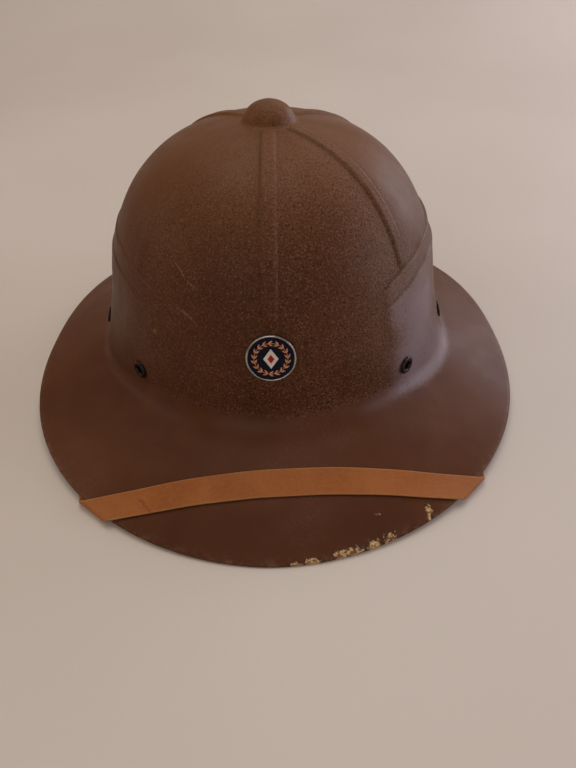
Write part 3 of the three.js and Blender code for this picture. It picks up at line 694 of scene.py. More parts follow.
# Surface of revolution about y. A profile that starts or ends on the axis closes there.
def lathe(profile, sides):
    vertices = []
    faces = []
    rings = []
    for radius, height in profile:
        if radius < 1e-6:
            rings.append([len(vertices)])
            vertices.append((0, height, 0))
            continue
        rings.append(list(range(len(vertices), len(vertices) + sides)))
        for side in range(sides):
            angle = 2 * math.pi * side / sides
            vertices.append((radius * math.cos(angle), height, radius * math.sin(angle)))
    for upper, lower in zip(rings, rings[1:]):
        for side in range(sides):
            following = (side + 1) % sides
            if len(upper) == 1 and len(lower) == 1:
                break
            if len(upper) == 1:
                faces.append([upper[0], lower[following], lower[side]])
            elif len(lower) == 1:
                faces.append([upper[side], upper[following], lower[0]])
            else:
                faces.append([upper[side], upper[following], lower[following], lower[side]])
    return vertices, faces


def joined(meshes):
    vertices = []
    faces = []
    for more_vertices, more_faces in meshes:
        start = len(vertices)
        vertices += [tuple(vertex) for vertex in more_vertices]
        faces += [[start + corner for corner in face] for face in more_faces]
    return vertices, faces


# Drilled holes: every cutter is a closed cylinder across the wall, from outside it to inside it
DRILL_START = 7
DRILL_END = -9


def drill(radius, wall, sides):
    profile = [(0, DRILL_START), (radius, DRILL_START), (radius, DRILL_END), (0, DRILL_END)]
    vertices, faces = lathe(profile, sides)
    return placed(vertices, frame_matrix(wall)), faces


def cut(piece, cutters):
    cutter = make_object("cutter", make_mesh("cutter", *joined(cutters)))
    modifier = piece.modifiers.new("holes", "BOOLEAN")
    modifier.object = cutter
    modifier.operation = "DIFFERENCE"
    modifier.solver = "EXACT"
    evaluated = piece.evaluated_get(bpy.context.evaluated_depsgraph_get())
    mesh = bpy.data.meshes.new_from_object(evaluated)
    piece.modifiers.clear()
    piece.data = mesh
    bpy.data.objects.remove(cutter)
    mesh.polygons.foreach_set("use_smooth", np.ones(len(mesh.polygons), dtype=bool))
    mesh.update()


# The brim's surface over a place of the right front quarter, found by halving the turns
def brim_at(x, y):
    low = np.zeros_like(x)
    high = np.full_like(x, math.pi / 2)
    for _ in range(HALVINGS):
        turn = (low + high) / 2
        foot = brim_point(turn, 0)
        rim = brim_point(turn, 1)
        share = (y - foot[..., 1]) / (rim[..., 1] - foot[..., 1])
        inside = foot[..., 0] + (rim[..., 0] - foot[..., 0]) * share < x
        low = np.where(inside, turn, low)
        high = np.where(inside, high, turn)
    return brim_point((low + high) / 2, share)


def brim_normal(x, y):
    side = brim_at(x + 1, y) - brim_at(np.maximum(x - 1, 0), y)
    back = brim_at(x, y + 1) - brim_at(x, y - 1)
    return unit(np.cross(side, back))


# Where the strap's middle line crosses the rim on the right, with the directions along the rim,
# out of it and up from it
def rim_crossing(slope, across):
    low = 0.0
    high = math.pi / 2
    for _ in range(HALVINGS):
        turn = (low + high) / 2
        rim = rim_point(turn)
        if rim[1] < slope * rim[0] - across:
            low = turn
        else:
            high = turn
    along = unit(rim_point(turn + 0.01) - rim_point(turn - 0.01))
    outward = rim - brim_point(turn, 0)
    outward = unit(outward - along * np.dot(outward, along))
    up = np.cross(outward, along)
    return rim, along, outward, up if up[2] > 0 else -up


# One half of the strap, worked out on the right, as stations with two edges and two faces.
# A slope takes its line towards the rear on the right half and towards the front on the left one.
def strap_half(slope):
    across = HALF_CROWN_LENGTH + (HALF_BRIM_LENGTH - HALF_CROWN_LENGTH) * STRAP_PLACE_ON_BRIM
    edges = [offset * math.hypot(1, slope) - across for offset in (STRAP_WIDTH / 2, -STRAP_WIDTH / 2)]
    rim, along, outward, up = rim_crossing(slope, across)

    def slide(line, middle):
        return (middle + slope * line[0] - line[1]) / (along[1] - slope * along[0])

    shares = np.arange(STRAP_FLAT_STEPS + 1) / STRAP_FLAT_STEPS
    fold = rim - outward * RIM_ROUNDING / 2
    lines = []
    line_faces = []
    for middle in edges:
        x = (fold[0] + along[0] * slide(fold, middle)) * shares
        y = middle + slope * x
        face = brim_normal(x, y)
        lines.append(brim_at(x, y) + face * (STRAP_GAP + STRAP_THICKNESS / 2))
        line_faces.append(face)
    stations = list(zip(*lines, *line_faces))

    radius = WALL / 2 + STRAP_GAP + STRAP_THICKNESS / 2
    axis = rim - up * WALL / 2 - outward * RIM_ROUNDING / 2
    for bend in range(1, STRAP_BENDS + 1):
        angle = math.pi * bend / STRAP_BENDS
        face = up * math.cos(angle) + outward * math.sin(angle)
        hang = STRAP_HANG * (1 - math.cos(angle)) / 2
        line = rim + outward * radius * angle
        pair = [axis - up * hang + face * radius + along * slide(line, middle) for middle in edges]
        stations.append((*pair, face, face))

    strip = unit(np.array([1, slope, 0]))
    leave = unit(-outward * np.dot(outward, strip) + along * np.dot(along, strip))
    start = (stations[-1][0] + stations[-1][1]) / 2 + leave * STRAP_LEAD - up * STRAP_SLACK / 4
    return stations + strap_to_post(start, -up)


# Under the brim and up the inside of the crown to the post, with the rounded end behind it
def strap_to_post(start, start_face):
    point, level, out, _ = wall_frame_at(POST_AZIMUTH, POST_ABOVE_FOOT)
    inward = -out
    # The middle of the strap there, inside the post's flange
    depth = WALL + FACET_SAG + 2 * CLEARANCE + POST_FLANGE_THICKNESS + STRAP_THICKNESS / 2
    hold = point + inward * depth
    rearward = level if level[1] > 0 else -level
    half = STRAP_WIDTH / 2
    flat_end = hold - rearward * half
    way = [start]
    faces = [start_face]
    for stop in STRAP_STOPS:
        spot = start + (flat_end - start) * stop
        place = (np.array([spot[0]]), np.array([spot[1]]))
        under = -brim_normal(*place)[0]
        way.append(brim_at(*place)[0] + under * (WALL + STRAP_GAP + STRAP_THICKNESS / 2 + STRAP_SLACK))
        faces.append(under)
    way += [flat_end, hold]
    faces += [inward, inward]
    stations = []
    for point, tangent, share in through(way, STRAP_STEPS_PER_STOP):
        stop = min(int(share), len(faces) - 2)
        face = unit(faces[stop] + (faces[stop + 1] - faces[stop]) * (share - stop))
        stations.append(strip_station(point, tangent, face, half))
    for reach in np.linspace(0.12, 1, 9):
        narrow = math.sqrt(max(1 - max(reach - 0.5, 0) ** 2 * 3.2, 0.04))
        point = hold + rearward * STRAP_TAIL * reach
        stations.append(strip_station(point, rearward, inward, half * narrow))
    return stations


def strip_station(centre, tangent, face, half):
    side = unit(np.cross(tangent, face))
    square = unit(np.cross(side, tangent))
    return centre - side * half, centre + side * half, square, square


# Centripetal curve through the given points: its points, tangents and places along the list
def through(way, steps_per_stop):
    way = np.array(way)
    ends = np.concatenate([[2 * way[0] - way[1]], way, [2 * way[-1] - way[-2]]])
    stops = []
    for index in range(len(way) - 1):
        p0, p1, p2, p3 = ends[index:index + 4]
        d0, d1, d2 = (math.sqrt(np.linalg.norm(b - a)) for a, b in ((p0, p1), (p1, p2), (p2, p3)))
        t1 = ((p1 - p0) / d0 - (p2 - p0) / (d0 + d1) + (p2 - p1) / d1) * d1
        t2 = ((p2 - p1) / d1 - (p3 - p1) / (d1 + d2) + (p3 - p2) / d2) * d1
        square = 3 * (p2 - p1) - 2 * t1 - t2
        cube = 2 * (p1 - p2) + t1 + t2
        last = index == len(way) - 2
        for step in range(steps_per_stop + (1 if last else 0)):
            s = step / steps_per_stop
            point = p1 + t1 * s + square * s ** 2 + cube * s ** 3
            stops.append((point, unit(t1 + 2 * square * s + 3 * cube * s ** 2), index + s))
    return stops


# Section of the strip: places across from the back edge to the front one, and through its thickness
STRIP_ACROSS = (-0.93, -0.8, -0.55, -0.28, 0, 0.28, 0.55, 0.8, 0.93)
STRIP_EDGE = ((0.975, 0.85), (0.995, 0.5), (1, 0), (0.995, -0.5), (0.975, -0.85))
STRIP_DISH = 0.06


def make_strap_mesh():
    slope = math.tan(math.radians(STRAP_SKEW_ANGLE))
    flip = np.array([-1, 1, 1])
    stations = [tuple(vector * flip for vector in station) for station in strap_half(-slope)[:0:-1]]
    stations += strap_half(slope)
    section = [(across, 1) for across in STRIP_ACROSS] + list(STRIP_EDGE)
    section += [(-across, -depth) for across, depth in section]
    middles = np.array([(station[0] + station[1]) / 2 for station in stations])
    travel = np.concatenate([[0], np.cumsum(np.linalg.norm(np.diff(middles, axis=0), axis=1))])
    travel -= travel[-1] / 2
    vertices = []
    for (back, front, back_face, front_face), distance in zip(stations, travel):
        wander = 0.12 * math.sin(distance * 0.071 + 0.8) + 0.07 * math.sin(distance * 0.19)
        shift = unit(front - back) * wander
        for across, depth in section:
            share = (across + 1) / 2
            face = unit(back_face + (front_face - back_face) * share)
            height = depth * STRAP_THICKNESS / 2 - STRIP_DISH * (1 - across ** 2)
            vertices.append(back + (front - back) * share + shift + face * height)
    faces = ring_faces(len(stations), len(section), close_ends=True)
    mesh = make_mesh("strap", vertices, [face[::-1] for face in faces])
    set_attribute(mesh, "along", np.repeat(travel, len(section)))
    set_attribute(mesh, "across", [across for across, _ in section] * len(stations))
    return mesh


# Badge, in its own frame: x across it, y out of it, z up it
BADGE_BACK = CLEARANCE
BADGE_FRONT = BADGE_BACK + BADGE_THICKNESS
BADGE_FLOOR = BADGE_FRONT - BADGE_RECESS
ENAMEL_BACK = BADGE_FLOOR + CLEARANCE
ENAMEL_FRONT = ENAMEL_BACK + BADGE_ENAMEL
ORNAMENT_BACK = ENAMEL_FRONT + CLEARANCE


def badge_body():
    inner = BADGE_RADIUS - BADGE_RIM_WIDTH
    head = BADGE_POST_HEAD_RADIUS
    head_top = INNER_FACE
    end = head_top - BADGE_POST_HEAD_THICKNESS
    bead = BADGE_FRONT - BADGE_BEAD
    profile = [(0, BADGE_FLOOR), (inner, BADGE_FLOOR), (inner, bead)]
    for angle in np.radians(np.arange(15, 180, 15)):
        across = BADGE_RADIUS - BADGE_RIM_WIDTH / 2 - BADGE_RIM_WIDTH / 2 * math.cos(angle)
        profile.append((across, bead + BADGE_BEAD * math.sin(angle)))
    profile += [(BADGE_RADIUS, BADGE_FRONT - 0.5), (BADGE_RADIUS, BADGE_FRONT - 1.1)]
    profile += [(BADGE_RADIUS - 0.2, BADGE_BACK), (BADGE_POST_RADIUS, BADGE_BACK)]
    profile += [(BADGE_POST_RADIUS, head_top), (head, head_top), (head, head_top - 0.6)]
    profile += [(head - 0.4, end), (0, end)]
    return lathe(profile, BADGE_SIDES)


# Enamel that falls a little towards the badge's rim
def badge_field():
    radius = BADGE_RADIUS - BADGE_RIM_WIDTH - ENAMEL_GAP
    profile = [(0, ENAMEL_FRONT)]
    for step in range(1, 9):
        profile.append((radius * step / 8, ENAMEL_FRONT - ENAMEL_FALL * (step / 8) ** 6))
    profile += [(radius, ENAMEL_BACK), (0, ENAMEL_BACK)]
    return lathe(profile, BADGE_SIDES)


# Leaf: a pointed outline with a raised middle vein and two sunk halves.
# Its section has places across and heights as shares.
LEAF_SECTION = ((-1, 0.45), (-0.5, 0.62), (-0.16, 0.55), (0, 1), (0.16, 0.55), (0.5, 0.62), (1, 0.45))
LEAF_STEPS = 10


def leaf():
    vertices = []
    for step in range(LEAF_STEPS + 1):
        share = step / LEAF_STEPS
        half = 0.02
        if 0 < step < LEAF_STEPS:
            half = LEAF_WIDTH / 2 * math.sin(math.pi * share ** 0.8) ** 0.8
        x = LEAF_LENGTH * (share - 0.5)
        rise = BADGE_ORNAMENT * (0.55 + 0.45 * math.sin(math.pi * share))
        vertices += [(x, rise * height, half * across) for across, height in LEAF_SECTION]
        vertices += [(x, 0, half), (x, 0, -half)]
    return vertices, ring_faces(LEAF_STEPS + 1, len(LEAF_SECTION) + 2, close_ends=True)


# Two branches that rise from the bottom to the top, with a pair of leaves at each knot
def badge_wreath():
    meshes = []
    middle = WREATH_RADIUS - WREATH_BAND / 2
    vertices, faces = leaf()
    for index in range(WREATH_LEAVES):
        angle = 2 * math.pi * (index + 0.5) / WREATH_LEAVES
        rising = 1 if math.cos(angle) > 0 else -1
        for outer in (1, -1):
            heading = angle + rising * (math.pi / 2 - outer * math.radians(LEAF_LEAN))
            radius = middle + outer * LEAF_OFFSET
            matrix = np.eye(4)
            matrix[:3, 0] = (math.cos(heading), 0, math.sin(heading))
            matrix[:3, 2] = (-math.sin(heading), 0, math.cos(heading))
            matrix[:3, 3] = (radius * math.cos(angle), ORNAMENT_BACK, radius * math.sin(angle))
            meshes.append((placed(vertices, matrix), faces))
    profile = [(0.14, 0.03), (0.1, 0.14), (0, 0.18), (-0.1, 0.14), (-0.14, 0.03), (0.14, 0.03)]
    meshes.append(lathe([(middle + across, ORNAMENT_BACK + height) for across, height in profile], 96))
    return joined(meshes)


def bevelled_lozenge(share, back, front, bevel):
    width = LOZENGE_WIDTH * share
    height = LOZENGE_HEIGHT * share
    vertices = []
    for inset, level in ((0, back), (0, front - bevel), (bevel, front)):
        scale = 1 - inset * 2.4 / width
        for x, z in ((width / 2, 0), (0, height / 2), (-width / 2, 0), (0, -height / 2)):
            vertices.append((x * scale, level, z * scale))
    return vertices, ring_faces(3, 4, close_ends=True)


# Eyelet: rolled flange outside, barrel through the wall, turned edge inside
def eyelet_mesh():
    hole = EYELET_HOLE_RADIUS
    barrel = hole + EYELET_BARREL_WALL
    turned = EYELET_INNER_FLANGE_RADIUS
    crest = CLEARANCE + EYELET_FLANGE_THICKNESS
    start = CLEARANCE + EYELET_ROLL_START
    inner = INNER_FACE
    middle = (hole + EYELET_FLANGE_RADIUS) / 2
    reach = (EYELET_FLANGE_RADIUS - hole) / 2
    profile = [(hole, inner - 0.5), (hole, start)]
    for angle in np.radians(np.arange(165, -1, -15)):
        across = math.copysign(abs(math.cos(angle)) ** 0.85, math.cos(angle))
        rise = (crest - CLEARANCE - EYELET_ROLL_START) * math.sin(angle) ** 0.9
        profile.append((middle + reach * across, start + rise))
    profile += [(EYELET_FLANGE_RADIUS - 0.25, CLEARANCE), (barrel, CLEARANCE), (barrel, inner)]
    profile += [(turned, inner), (turned - 0.1, inner - 0.45), (turned - 0.6, inner - 0.85)]
    profile += [(hole + 0.5, inner - 0.9), (hole, inner - 0.5)]
    return lathe(profile, 64)


# Post: flange against the inside of the crown, stem through the strap, and head
def post_mesh():
    wide = POST_FLANGE_RADIUS
    base = INNER_FACE
    flange = base - POST_FLANGE_THICKNESS
    head = flange - 2 * CLEARANCE - STRAP_THICKNESS
    end = head - POST_HEAD_THICKNESS
    profile = [(0, base), (wide - 0.15, base), (wide, base - 0.2), (wide, flange + 0.15)]
    profile += [(wide - 0.15, flange), (POST_RADIUS, flange), (POST_RADIUS, head)]
    profile += [(POST_HEAD_RADIUS, head), (POST_HEAD_RADIUS, head - 0.4)]
    profile += [(POST_HEAD_RADIUS - 0.35, head - 0.85), (POST_HEAD_RADIUS - 1.2, end), (0, end)]
    return lathe(profile, 48)


# Materials
class Paint:
    def __init__(self, name):
        self.material = bpy.data.materials.new(name)
        self.material.use_nodes = True
        self.tree = self.material.node_tree
        self.shader = self.tree.nodes["Principled BSDF"]
        self.place = self.node("ShaderNodeTexCoord").outputs["Object"]

    def node(self, kind, inputs=(), **settings):
        node = self.tree.nodes.new(kind)
        for key, value in settings.items():
            setattr(node, key, value)
        for key, value in dict(inputs).items():
            self.feed(node.inputs[key], value)
        return node

    def feed(self, socket, value):
        if isinstance(value, bpy.types.NodeSocket):
            self.tree.links.new(value, socket)
        elif socket.type == "RGBA":
            socket.default_value = (*value, 1)
        else:
            socket.default_value = value

    def attribute(self, name):
        return self.node("ShaderNodeAttribute", attribute_name=name).outputs["Fac"]

    def noise(self, size_mm, detail, roughness, place=None, distortion=0):
        inputs = {
            "Vector": place or self.place,
            "Scale": 1000 / size_mm,
            "Detail": detail,
            "Roughness": roughness,
            "Distortion": distortion,
        }
        return self.node("ShaderNodeTexNoise", inputs).outputs["Fac"]

    def cells(self, size_mm):
        inputs = {"Vector": self.place, "Scale": 1000 / size_mm}
        return self.node("ShaderNodeTexVoronoi", inputs).outputs["Distance"]

    def math(self, operation, a, b=0.0):
        return self.node("ShaderNodeMath", {0: a, 1: b}, operation=operation).outputs[0]

    def add(self, a, b):
        return self.math("ADD", a, b)

    def times(self, a, b):
        return self.math("MULTIPLY", a, b)

    def ramp(self, value, low, high, to_low=0.0, to_high=1.0):
        inputs = {"Value": value, "From Min": low, "From Max": high, "To Min": to_low, "To Max": to_high}
        return self.node("ShaderNodeMapRange", inputs, interpolation_type="SMOOTHSTEP").outputs["Result"]

    # Noise gathers round a half, so its middle part is spread out
    def spread(self, noise, to_low=0.0, to_high=1.0):
        return self.ramp(noise, 0.3, 0.7, to_low, to_high)

    def mix(self, share, first, second):
        node = self.node("ShaderNodeMix", data_type="RGBA")
        for key, value in (("Factor", share), (6, first), (7, second)):
            self.feed(node.inputs[key], value)
        return node.outputs[2]

    # Lays colours over a first one. Each has a share that varies, a strength and the colour.
    def layered(self, colour, *layers):
        for share, strength, over in layers:
            colour = self.mix(self.times(share, strength), colour, over)
        return colour

    def bump(self, height, depth_mm, strength, normal=None):
        inputs = {"Height": height, "Distance": depth_mm * MM, "Strength": strength}
        if normal is not None:
            inputs["Normal"] = normal
        return self.node("ShaderNodeBump", inputs).outputs["Normal"]

    # Length to the middle of a spot that is stretched and turned, 1 at its edge
    def spot(self, centre, sizes, turned):
        inputs = {
            "Vector": self.place,
            "Location": tuple(value * MM for value in centre),
            "Rotation": turned,
            "Scale": tuple(value * MM for value in sizes),
        }
        mapping = self.node("ShaderNodeMapping", inputs, vector_type="TEXTURE")
        length = self.node("ShaderNodeVectorMath", {0: mapping.outputs[0]}, operation="LENGTH")
        return length.outputs["Value"]

    def finish(self, **sockets):
        for key, value in sockets.items():
            self.feed(self.shader.inputs[key.replace("_", " ")], value)
        return self.material


# Places on the front brim where the paint is chipped off: x, y, half length, half width and the
# turn seen from above
CHIPS = [
    (9.5, -163.4, 2.6, 0.9, 3),
    (16.6, -162.4, 3.4, 1.8, 8),
    (28.2, -159.8, 3.2, 1.9, 15),
    (33.6, -158.4, 6.6, 1.9, 17),
    (44.3, -155.2, 3.8, 2.3, 22),
    (51.9, -152.2, 3.4, 2.6, 30),
    (71.4, -138.4, 1.9, 2.6, 0),
    (71.2, -142.2, 0.8, 3.4, 5),
    (47.0, -142.4, 1.6, 0.6, 10),
]
CHIP_DEPTH = 4
# Scratches down the left of the crown: their two ends and the half width
SCRATCHES = [
    ((-41.7, -74.4, 100.1), (-36.5, -81.4, 94.5), 0.3),
    ((-36.5, -81.4, 94.5), (-31.2, -85.7, 91.4), 0.26),
    ((-41.2, -84.3, 82.7), (-32.3, -90.7, 77.6), 0.26),
    ((-55.8, -78.6, 67.4), (-54.2, -79.8, 65.8), 0.7),
]
SCRATCH_DEPTH = 3
SCRATCH_OVERRUN = 1.15


def smallest(paint, values):
    least = values[0]
    for value in values[1:]:
        least = paint.math("MINIMUM", least, value)
    return least


def chip_distance(paint):
    spots = []
    for x, y, length, width, angle in CHIPS:
        height = float(brim_at(np.array([x]), np.array([y]))[0][2])
        turned = (0, 0, math.radians(angle))
        spots.append(paint.spot((x, y, height), (length, width, CHIP_DEPTH), turned))
    return smallest(paint, spots)


def scratch_distance(paint):
    spots = []
    for start, end, width in SCRATCHES:
        way = Vector(end) - Vector(start)
        turned = way.to_track_quat("X", "Z").to_euler()
        sizes = (way.length / 2 * SCRATCH_OVERRUN, width, SCRATCH_DEPTH)
        spots.append(paint.spot((Vector(start) + Vector(end)) / 2, sizes, turned))
    return smallest(paint, spots)


# Stretches of the paint in metres: the front of the brim, which is darker, from its start to its
# full strength, the crown's top, painted lighter and warmer for the light from above, and the heights over
# which the painted sheen turns bluish
BRIM_FRONT_DARKER = (-0.132, -0.15)
LIT_TOP = (0.094, 0.14)
BLUISH_SHEEN = (0.1, 0.06)


def brim_colours(paint, patches, blotches, grain, forward):
    colour = paint.mix(paint.spread(patches), (0.079, 0.0238, 0.008), (0.102, 0.0322, 0.0116))
    colour = paint.mix(paint.ramp(blotches, 0.45, 0.75, 0, 0.3), colour, (0.112, 0.039, 0.015))
    colour = paint.mix(paint.ramp(grain, 0.4, 0.7, 0, 0.2), colour, (0.112, 0.04, 0.017))
    # Darker towards the brim's front edge
    return paint.layered(colour, (paint.ramp(forward, *BRIM_FRONT_DARKER), 0.3, (0.045, 0.011, 0.003)))


def crown_colours(paint, patches, grain, sand, coarse, grainy, height):
    colour = paint.mix(paint.spread(patches), (0.08, 0.0245, 0.0085), (0.103, 0.0345, 0.0125))
    colour = paint.mix(paint.ramp(grain, 0.45, 0.75, 0, 0.22), colour, (0.155, 0.06, 0.026))
    # Painted light: the crown's upper right side made lighter
    painted_light_right = paint.times(paint.attribute("painted_light_right"), paint.ramp(coarse, 0.3, 0.65, 0.5, 1))
    dark_grain = paint.times(paint.ramp(sand, 0.52, 0.6), grainy)
    light_grain = paint.times(paint.ramp(sand, 0.45, 0.38), grainy)
    return paint.layered(
        colour,
        (painted_light_right, 0.5, (0.19, 0.105, 0.07)),
        # Painted light: the crown's top made lighter and warmer for the light from above
        (paint.ramp(height, *LIT_TOP), 0.5, (0.2, 0.075, 0.023)),
        (dark_grain, 0.75, (0.022, 0.008, 0.0045)),
        (light_grain, 0.45, (0.26, 0.13, 0.075)))


# Where the paint is chipped off, and the lifted edge round each chip
def chipped(paint):
    ragged = paint.ramp(paint.noise(1.7, 3, 0.7), 0.25, 0.75, -0.55, 0.55)
    chips = paint.add(chip_distance(paint), ragged)
    lifted = paint.ramp(paint.math("ABSOLUTE", paint.add(chips, -1.02)), 0.22, 0.04)
    holes = paint.ramp(paint.noise(2.1, 2, 0.5, distortion=0.6), 0.46, 0.4)
    kept = paint.math("SUBTRACT", 1.0, paint.times(holes, 0.8))
    return paint.times(paint.ramp(chips, 0.95, 0.78), kept), lifted


def shell_paint():
    paint = Paint("painted_fibre")
    axes = paint.node("ShaderNodeSeparateXYZ", {0: paint.place}).outputs
    height = axes["Z"]
    patches = paint.noise(38, 4, 0.55)
    blotches = paint.noise(14, 3, 0.6)
    grain = paint.noise(0.9, 3, 0.65)
    sand = paint.noise(0.9, 3, 0.68)
    coarse = paint.noise(3.4, 3, 0.6)
    grainy = paint.times(paint.attribute("grain"), paint.ramp(coarse, 0.3, 0.6, 0.55, 1))
    crown = paint.ramp(paint.add(paint.attribute("crown"), paint.spread(patches, -0.22, 0.22)), 0.35, 0.85)
    brim_colour = brim_colours(paint, patches, blotches, grain, axes["Y"])
    crown_colour = crown_colours(paint, patches, grain, sand, coarse, grainy, height)
    colour = paint.mix(crown, brim_colour, crown_colour)

    # Painted sheen: a pale reflection on the right side below the pleats, bluish lower down
    sheen_share = paint.add(paint.spread(patches, -0.2, 0.2), paint.ramp(sand, 0.35, 0.65, 0.12, -0.12))
    sheen_share = paint.ramp(paint.add(sheen_share, paint.attribute("painted_sheen")), 0.12, 1.1)
    sheen_colour = paint.mix(paint.ramp(height, *BLUISH_SHEEN), (0.2, 0.135, 0.094), (0.275, 0.215, 0.232))
    # Lighter lines: wear on the knob and the brim's edge, and painted highlights, partly wear, along the
    # ribs' right edges and the pleats' lips
    worn = paint.times(paint.attribute("wear_and_highlight"), paint.ramp(paint.noise(3.2, 4, 0.7), 0.42, 0.68))
    bare, lifted = chipped(paint)
    fibres = paint.ramp(paint.noise(1.1, 4, 0.7), 0.35, 0.65)
    fibre = paint.mix(fibres, (0.33, 0.17, 0.075), (0.62, 0.4, 0.2))
    scratched = paint.ramp(paint.add(scratch_distance(paint), paint.spread(grain, -0.4, 0.5)), 1.0, 0.7)
    colour = paint.layered(
        colour,
        (sheen_share, 0.66, sheen_colour),
        # Painted shade at the ribs' left feet and above the pleats
        (paint.attribute("painted_shade"), 0.4, (0.02, 0.0075, 0.004)),
        (worn, 0.5, (0.25, 0.145, 0.09)),
        (lifted, 0.5, (0.03, 0.014, 0.009)),
        (bare, 1.0, fibre),
        (scratched, 0.25, (0.3, 0.19, 0.12)))

    roughness = paint.add(paint.spread(blotches, 0.38, 0.46), paint.times(grainy, 0.2))
    roughness = paint.math("MAXIMUM", roughness, paint.times(bare, 0.92))
    relief = paint.times(paint.add(paint.times(sand, -1.2), grain), paint.ramp(grainy, 0, 1, 0.1, 1))
    normal = paint.bump(relief, 0.3, 0.85)
    normal = paint.bump(paint.add(blotches, paint.times(paint.noise(5, 3, 0.5), 0.35)), 0.2, 0.3, normal)
    normal = paint.bump(paint.add(paint.times(bare, -1.0), paint.times(lifted, 0.35)), 0.35, 0.9, normal)
    return paint.finish(Base_Color=colour, Roughness=roughness, Normal=normal, Specular_IOR_Level=0.15)


def inner_fibre():
    paint = Paint("inner_fibre")
    patches = paint.noise(30, 5, 0.6)
    mottle = paint.noise(3.4, 5, 0.65, distortion=0.8)
    fibres = paint.noise(0.9, 3, 0.7, distortion=1.2)
    colour = paint.mix(paint.spread(patches), (0.14, 0.078, 0.04), (0.2, 0.118, 0.062))
    colour = paint.mix(paint.ramp(mottle, 0.42, 0.68, 0, 0.6), colour, (0.3, 0.19, 0.11))
    colour = paint.mix(paint.ramp(fibres, 0.52, 0.72, 0, 0.5), colour, (0.08, 0.042, 0.024))
    normal = paint.bump(paint.add(mottle, paint.times(fibres, 0.5)), 0.3, 0.7)
    return paint.finish(Base_Color=colour, Roughness=paint.spread(fibres, 0.7, 0.88), Normal=normal)


def strap_leather():
    paint = Paint("strap_leather")
    along = paint.attribute("along")
    across = paint.attribute("across")
    patches = paint.noise(26, 4, 0.6)
    pores = paint.cells(0.5)
    fine = paint.noise(0.9, 4, 0.65)
    lengthwise = {0: paint.times(along, 0.0006), 1: paint.times(across, 0.006)}
    stretched = paint.node("ShaderNodeCombineXYZ", lengthwise)
    streaks = paint.noise(1.6, 3, 0.6, place=stretched.outputs[0])
    colour = paint.mix(paint.ramp(patches, 0.32, 0.68), (0.29, 0.085, 0.017), (0.35, 0.112, 0.027))
    colour = paint.mix(paint.ramp(streaks, 0.4, 0.7, 0, 0.3), colour, (0.385, 0.142, 0.042))
    colour = paint.mix(paint.ramp(fine, 0.45, 0.75, 0, 0.35), colour, (0.225, 0.063, 0.013))
    side = paint.math("ABSOLUTE", across)
    edge = paint.ramp(paint.add(side, paint.spread(fine, -0.05, 0.05)), 0.86, 0.98)
    ends = paint.ramp(paint.math("ABSOLUTE", along), 60, 105)

    # A crack across the strap, at a distance along it in mm
    def crease(distance, lean, width):
        wander = paint.times(paint.add(paint.noise(5, 3, 0.6), -0.5), 6.0)
        line = paint.add(paint.add(along, -distance), paint.add(paint.times(across, lean), wander))
        return paint.ramp(paint.math("ABSOLUTE", line), width, width * 0.25)

    cracks = paint.math("MAXIMUM", crease(-62, 1.1, 0.7), paint.times(crease(-64.5, -0.8, 0.4), 0.7))
    cracks = paint.times(cracks, paint.ramp(across, -0.4, -0.05, 0.1, 1))
    specks = paint.times(paint.ramp(paint.noise(1.3, 2, 0.5), 0.7, 0.78), paint.ramp(across, 0.2, 0.9))
    marks = paint.math("MAXIMUM", cracks, paint.times(specks, 0.8))
    colour = paint.layered(
        colour,
        (edge, 0.45, (0.43, 0.22, 0.092)),
        (ends, 0.3, (0.35, 0.155, 0.06)),
        (marks, 0.42, (0.1, 0.028, 0.009)))
    relief = paint.add(paint.times(pores, 0.5), paint.add(paint.times(fine, 0.5), paint.times(marks, -0.8)))
    normal = paint.bump(patches, 0.4, 0.4, paint.bump(relief, 0.1, 0.6))
    roughness = paint.spread(fine, 0.5, 0.62)
    return paint.finish(Base_Color=colour, Roughness=roughness, Normal=normal, Specular_IOR_Level=0.2)


def japanned_metal():
    paint = Paint("eyelet_metal")
    worn = paint.ramp(paint.noise(1.4, 4, 0.7), 0.58, 0.74)
    return paint.finish(
        Base_Color=paint.mix(worn, (0.012, 0.005, 0.005), (0.06, 0.035, 0.022)),
        Metallic=paint.ramp(worn, 0, 1, 0, 0.6), Specular_IOR_Level=0.22,
        Roughness=paint.spread(paint.noise(2.2, 3, 0.6), 0.14, 0.26),
        Normal=paint.bump(worn, 0.05, 0.5))


def badge_silver():
    paint = Paint("badge_metal")
    tarnish = paint.noise(2.4, 4, 0.65)
    return paint.finish(
        Base_Color=paint.mix(paint.ramp(tarnish, 0.4, 0.7), (0.48, 0.46, 0.43), (0.26, 0.235, 0.21)),
        Metallic=1.0, Roughness=paint.spread(tarnish, 0.2, 0.42),
        Normal=paint.bump(paint.noise(0.35, 2, 0.5), 0.02, 0.4))


def enamel(name, first, second, roughness=0.16):
    paint = Paint(name)
    clouds = paint.noise(3.5, 4, 0.6)
    colour = paint.mix(paint.ramp(clouds, 0.35, 0.65), first, second)
    specks = paint.ramp(paint.noise(0.5, 2, 0.5), 0.68, 0.78)
    colour = paint.mix(paint.times(specks, 0.25), colour, (0.3, 0.26, 0.22))
    scratches = paint.noise(0.3, 3, 0.6, distortion=2)
    return paint.finish(
        Base_Color=colour, Roughness=paint.ramp(scratches, 0.3, 0.75, roughness, roughness + 0.2),
        Specular_IOR_Level=0.15, Normal=paint.bump(clouds, 0.03, 0.4))


def plain_steel():
    paint = Paint("post_steel")
    stain = paint.noise(2.8, 4, 0.65)
    return paint.finish(
        Base_Color=paint.mix(paint.ramp(stain, 0.45, 0.7), (0.42, 0.41, 0.4), (0.22, 0.15, 0.1)),
        Metallic=1.0, Roughness=paint.spread(stain, 0.3, 0.5), Normal=paint.bump(stain, 0.03, 0.5))


